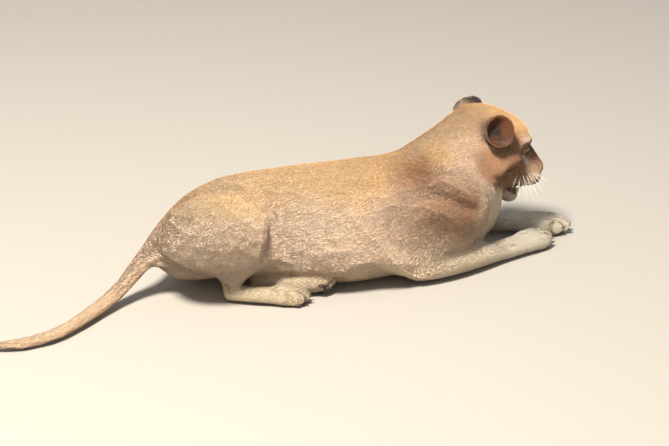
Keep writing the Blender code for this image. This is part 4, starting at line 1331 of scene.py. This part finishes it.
def makeLidRims(material):
    # the dark wet edge along both lids
    shape = bmesh.new()
    half, radius = eyePlan["halfLength"], eyePlan["radius"]
    for side, middle in eyeMiddles.items():
        gaze, slit, lift = eyeAxes(side)
        path = []
        for turn in np.linspace(0, 2 * math.pi, 44, endpoint=False):
            across = half * math.cos(turn)
            arch = max(1 - (across / half) ** 2, 0.0) ** 0.65
            upper = math.sin(turn) > 0
            rise = arch * (eyePlan["upperLid"] if upper else -eyePlan["lowerLid"])
            ahead = math.sqrt(max(radius ** 2 - across ** 2 - rise ** 2, 1e-8))
            spot = (slit * across + lift * rise + gaze * ahead).normalized()
            path.append(middle + spot * (radius + 0.0007))
        sweep(shape, path, [0.0012] * len(path), 6, closed=True)
    finishShape("lid_rims", shape, material, "nose_leather")


nosePlan = {
    "voxel": 0.0013,
    "swell": 0.0012,
    "nostril": (0.243, 0.0135, -0.016),  # in the head's frame
    "narrow": 0.62,                      # how narrow it gets towards the lip
}


def makeNose(material):
    nose = remeshed("nose_pad", mergedCopy(["nose"], nosePlan["swell"]), nosePlan["voxel"])
    mesh = nose.data
    points = spread(meshPoints(mesh), meshPairs(mesh), 16, 0.5)
    setPoints(mesh, points)
    local = toHead(points)
    local[:, 1] *= 1 - (1 - nosePlan["narrow"]) * smooth(local[:, 2], -0.006, -0.032)
    local[:, 0] -= 0.0020 * bell(local[:, 1], 0.0016) * smooth(local[:, 2], 0.0, -0.012)
    for side in (1, -1):
        _, y, z = (local - np.array(nosePlan["nostril"]) * (1, side, 1)).T
        hole = np.exp(-(y / 0.0048) ** 2 - (z / 0.0036) ** 2)
        slot = bell(pathDistance(np.column_stack([0 * y, y * side, z]),
                                 [(0, 0.003, 0.000), (0, 0.012, -0.001), (0, 0.017, 0.004)]), 0.0022)
        local[:, 0] -= 0.0085 * np.maximum(hole, 0.55 * slot)
        local[:, 0] += 0.0014 * bell(np.hypot(y - 0.002 * side, z - 0.008), 0.0050)
    setPoints(mesh, fromHead(local))
    settle(nose, material, "nose_leather", "nose")


mouthPlan = {
    "upperFang": ((0.182, 0.029, -0.050), (0.178, 0.029, -0.094), 0.0070),
    "lowerFang": ((0.190, 0.021, -0.090), (0.186, 0.023, -0.053), 0.0060),
    "upperRow": (0.204, -0.062, 0.0195),   # ahead, up, and half width of the front teeth
    "lowerRow": (0.203, -0.079, 0.0140),
    "cheekTeeth": 4,                       # on each side
    # the floor of the mouth and the insides of the cheeks: middle and radii, mirrored when off the middle
    "lining": (((0.116, 0, -0.083), (0.068, 0.030, 0.017)), ((0.092, 0.040, -0.078), (0.046, 0.011, 0.024)),
               ((0.128, 0.032, -0.081), (0.044, 0.008, 0.018)), ((0.160, 0, -0.077), (0.026, 0.020, 0.017))),
}


def makeTeeth(material):
    shape = bmesh.new()
    for side in (-1, 1):
        for key, place, bulge in (("upperFang", fromHead, 0.0045), ("lowerFang", fromJaw, 0.0035)):
            root, tip, radius = mouthPlan[key]
            path = bendPath(np.array(root) * (1, side, 1), np.array(tip) * (1, side, 1), (bulge, 0, 0), 9)
            radii = [radius * (1 - t ** 1.7 * 0.93) for t in np.linspace(0, 1, 9)]
            sweep(shape, place(path), radii, 12)
        for tooth in range(mouthPlan["cheekTeeth"]):
            # cheek teeth, low behind the fangs
            ahead = 0.150 - 0.020 * tooth
            root = np.array((ahead, 0.036 * side, -0.060))
            path = bendPath(root, root + (0, 0, -0.014), (0, 0, 0), 4)
            sweep(shape, fromHead(path), [0.0060, 0.0062, 0.0042, 0.0008], 8)
    for key, place, rise in (("upperRow", fromHead, -0.008), ("lowerRow", fromJaw, 0.007)):
        ahead, up, half = mouthPlan[key]
        for across in np.linspace(-half, half, 6):
            root = np.array((ahead - abs(across) * 0.35, across, up))
            path = bendPath(root, root + (0.001, 0, rise), (0, 0, 0), 4)
            sweep(shape, place(path), [0.0026, 0.0027, 0.0021, 0.0008], 8)
    finishShape("tooth_rows", shape, material, "teeth", "upper_canine_right", "upper_canine_left",
                "lower_canine_right", "lower_canine_left")


def makeLining(material):
    # closes the mouth behind the teeth
    shape = bmesh.new()
    axes = [Vector(v) for v in turnFromHead(np.eye(3))]
    for centre, radii in mouthPlan["lining"]:
        for side in (1, -1) if centre[1] else (1,):
            addEgg(shape, Vector(fromHead(np.array(centre) * (1, side, 1))), axes, radii)
    finishShape("mouth_lining", shape, material, "tongue")


def makeTongue(material):
    tongue = remeshed("tongue_skin", mergedCopy(["tongue"], 0.0004), 0.0018)
    mesh = tongue.data
    points = spread(meshPoints(mesh), meshPairs(mesh), 20, 0.5)
    local = toJaw(points)
    local[:, 2] -= 0.0030 * bell(local[:, 1], 0.006) * smooth(local[:, 2], -0.072, -0.066)
    setPoints(mesh, fromJaw(local))
    settle(tongue, material, "tongue", "tongue")


whiskerPlan = {
    "long": 0.105,
    "short": 0.045,
    "root": 0.00055,
    "droop": 0.22,                       # how far the tip sinks, as a share of the length
    "brow": 2,                           # whiskers over each eye
}


def makeWhiskers(material):
    corners, faces = lockTemplate(5, 7, 0.12)
    roots, ahead, length = [], [], []
    dots = facePlan["padDots"]
    for side in (-1, 1):
        for index, spot in enumerate(whiskerSpots()):
            row, dot = divmod(index, dots)
            if row == 0 and dot > 3 or chance.random() < 0.12:
                continue
            roots.append(spot * (1, side, 1) - np.array((0.004, 0.004 * side, 0)))
            ahead.append((0.25 - 0.16 * dot + chance.normal(0, 0.08), side * (0.90 + chance.normal(0, 0.05)),
                          0.10 - 0.16 * row + chance.normal(0, 0.06)))
            share = 0.35 + 0.65 * min(dot, 4) / 4
            length.append((whiskerPlan["short"] + (whiskerPlan["long"] - whiskerPlan["short"]) * share)
                          * chance.uniform(0.8, 1.1))
        for index in range(whiskerPlan["brow"]):
            roots.append(np.array((0.118 - 0.006 * index, (0.046 + 0.006 * index) * side, 0.070)))
            ahead.append((-0.20, side * 0.60, 0.65 + 0.1 * index))
            length.append(0.020)
    roots = fromHead(np.array(roots))
    along = turnFromHead(unit(np.array(ahead)))
    length = np.array(length) * headScale
    across = unit(np.cross(along, (0.0, 0.0, 1.0)))
    outward = np.cross(across, along)
    width = np.full(len(roots), whiskerPlan["root"] * 2)
    colours = np.tile(seen(244, 238, 226), (len(roots), 1))
    bends = -whiskerPlan["droop"] * length * chance.uniform(0.5, 1.3, len(roots))
    whiskers = tuftMesh("whiskers", (corners, faces), roots, (across, along, outward),
                        (width, length, width), bends, colours, None)
    settle(whiskers, material, "pale_coat")


def toes():
    # each toe's foot, with the toe's middle and the way it points
    for name in feet:
        foot = footFrame(name)
        for offset, reach in toePlaces:
            middle = foot.knuckle + foot.along * foot.length * reach + foot.across * foot.half * offset
            yield foot, middle, (foot.along + foot.across * 0.14 * offset).normalized()


clawPlan = {
    "root": (0.225, 0.008),              # ahead of the toe's middle as a share of the foot, and above
    "tip": (0.009, -0.006),              # ahead of the root, and above
    "radius": 0.0029,
}


def makeClaws(material):
    # mostly drawn in, so only the tips show between the hairs
    shape = bmesh.new()
    for foot, middle, ahead in toes():
        root = middle + ahead * foot.length * clawPlan["root"][0] + foot.rise * clawPlan["root"][1]
        tip = root + ahead * clawPlan["tip"][0] + foot.rise * clawPlan["tip"][1]
        path = bendPath(root, tip, foot.rise * 0.0030, 7)
        path[:, 2] = np.maximum(path[:, 2], 0.003)
        sweep(shape, path, [clawPlan["radius"] * (1 - t ** 1.6 * 0.92) for t in np.linspace(0, 1, 7)], 8)
    finishShape("claws", shape, material, "nose_leather")


def addEgg(shape, centre, axes, radii):
    made = bmesh.ops.create_uvsphere(shape, u_segments=20, v_segments=12, radius=1.0)
    turn = Matrix([v.normalized() for v in axes]).transposed().to_4x4()
    matrix = Matrix.Translation(centre) @ turn @ Matrix.Diagonal((*radii, 1.0))
    bmesh.ops.transform(shape, matrix=matrix, verts=made["verts"])
    for vertex in made["verts"]:
        vertex.co.z = max(vertex.co.z, 0.0005)


padPlan = {
    "toe": (0.100, 0.17, 0.0062),        # shares of the foot's length and half width, and thickness
    "toeDrop": 0.0185,
    "palm": (0.16, 0.34, 0.0090),
    "palmDrop": 0.0190,
}


def addPad(shape, foot, centre, ahead, sizes, share=1.0):
    long, wide, thick = sizes
    addEgg(shape, centre, (ahead, foot.across, foot.rise),
           (foot.length * long * share, foot.half * wide * share, thick))


def makePads(material):
    shape = bmesh.new()
    for foot, middle, ahead in toes():
        centre = middle + ahead * foot.length * 0.05 - foot.rise * padPlan["toeDrop"]
        addPad(shape, foot, centre, ahead, padPlan["toe"])
    for foot in map(footFrame, feet):
        for offset, share in ((0, 1.0), (-0.36, 0.72), (0.36, 0.72)):
            centre = foot.knuckle + foot.along * foot.length * (0.34 - 0.10 * abs(offset))
            centre = centre + foot.across * foot.half * offset - foot.rise * padPlan["palmDrop"]
            addPad(shape, foot, centre, foot.along, padPlan["palm"], share)
    finishShape("paw_pads", shape, material, "nose_leather")


# colour, roughness, scale of the mottling and its darkest and lightest share, depth of the
# grain, and shine
finishes = {
    "nose leather": ((92, 58, 50), 0.38, 900.0, 0.75, 1.2, 0.0005, 0.5),
    "lid rims": ((22, 16, 15), 0.30, 600.0, 0.8, 1.2, 0.0002, 0.5),
    "teeth": ((226, 208, 170), 0.25, 120.0, 0.85, 1.05, 0.0003, 0.5),
    "tongue": ((168, 92, 84), 0.32, 700.0, 0.8, 1.15, 0.0008, 0.5),
    "mouth lining": ((66, 30, 27), 0.60, 500.0, 0.8, 1.1, 0.0004, 0.12),
    "claws": ((96, 78, 62), 0.30, 300.0, 0.7, 1.2, 0.0002, 0.5),
    "pads": ((74, 56, 48), 0.60, 500.0, 0.7, 1.2, 0.0006, 0.5),
}


def makeDetails():
    looks = {name: plainMaterial(name, *look) for name, look in finishes.items()}
    makeEyes()
    makeLidRims(looks["lid rims"])
    makeNose(looks["nose leather"])
    makeTeeth(looks["teeth"])
    makeTongue(looks["tongue"])
    makeLining(looks["mouth lining"])
    makeWhiskers(coatMaterial("whiskers", 0.0, False))
    makeClaws(looks["claws"])
    makePads(looks["pads"])
    print("nose, mouth, whiskers, claws and pads done")


def makeSkin(labels):
    skin = baseSkin(labels)
    refine(skin, fromHead((0.165, 0, -0.015)), 0.092)
    for middle in eyeMiddles.values():
        refine(skin, middle, 0.030)
    for foot in map(footFrame, feet):
        refine(skin, foot.knuckle + foot.along * foot.length * 0.72, 0.055)
    for sculpt in (sculptFace, sculptBody, sculptFeet):
        setPoints(skin.data, sculpt(meshPoints(skin.data), meshNormals(skin.data)))
    points, _ = shapeLids(meshPoints(skin.data))
    points[:, 2] = np.maximum(points[:, 2], 0.0006)
    setPoints(skin.data, points)
    print("skin before thinning", len(skin.data.vertices))
    thin(skin, skinPlan["triangles"] // (1))
    return skin


def main():
    makeStudio()
    labels = Labels()
    skin = makeSkin(labels)
    points, normals = meshPoints(skin.data), meshNormals(skin.data)
    pairs, region = meshPairs(skin.data), labels.at(points)
    _, lidEdges = shapeLids(points)
    colours, hairy, inner = coatFields(points, normals, pairs, region, lidEdges)
    lies = hairLies(points, normals, pairs, region)
    paintSkin(skin, colours, hairy)
    makeDetails()
    print("skin", len(skin.data.polygons), "faces")
    growAllCoats(skin, colours, hairy, inner, lies, region)


main()
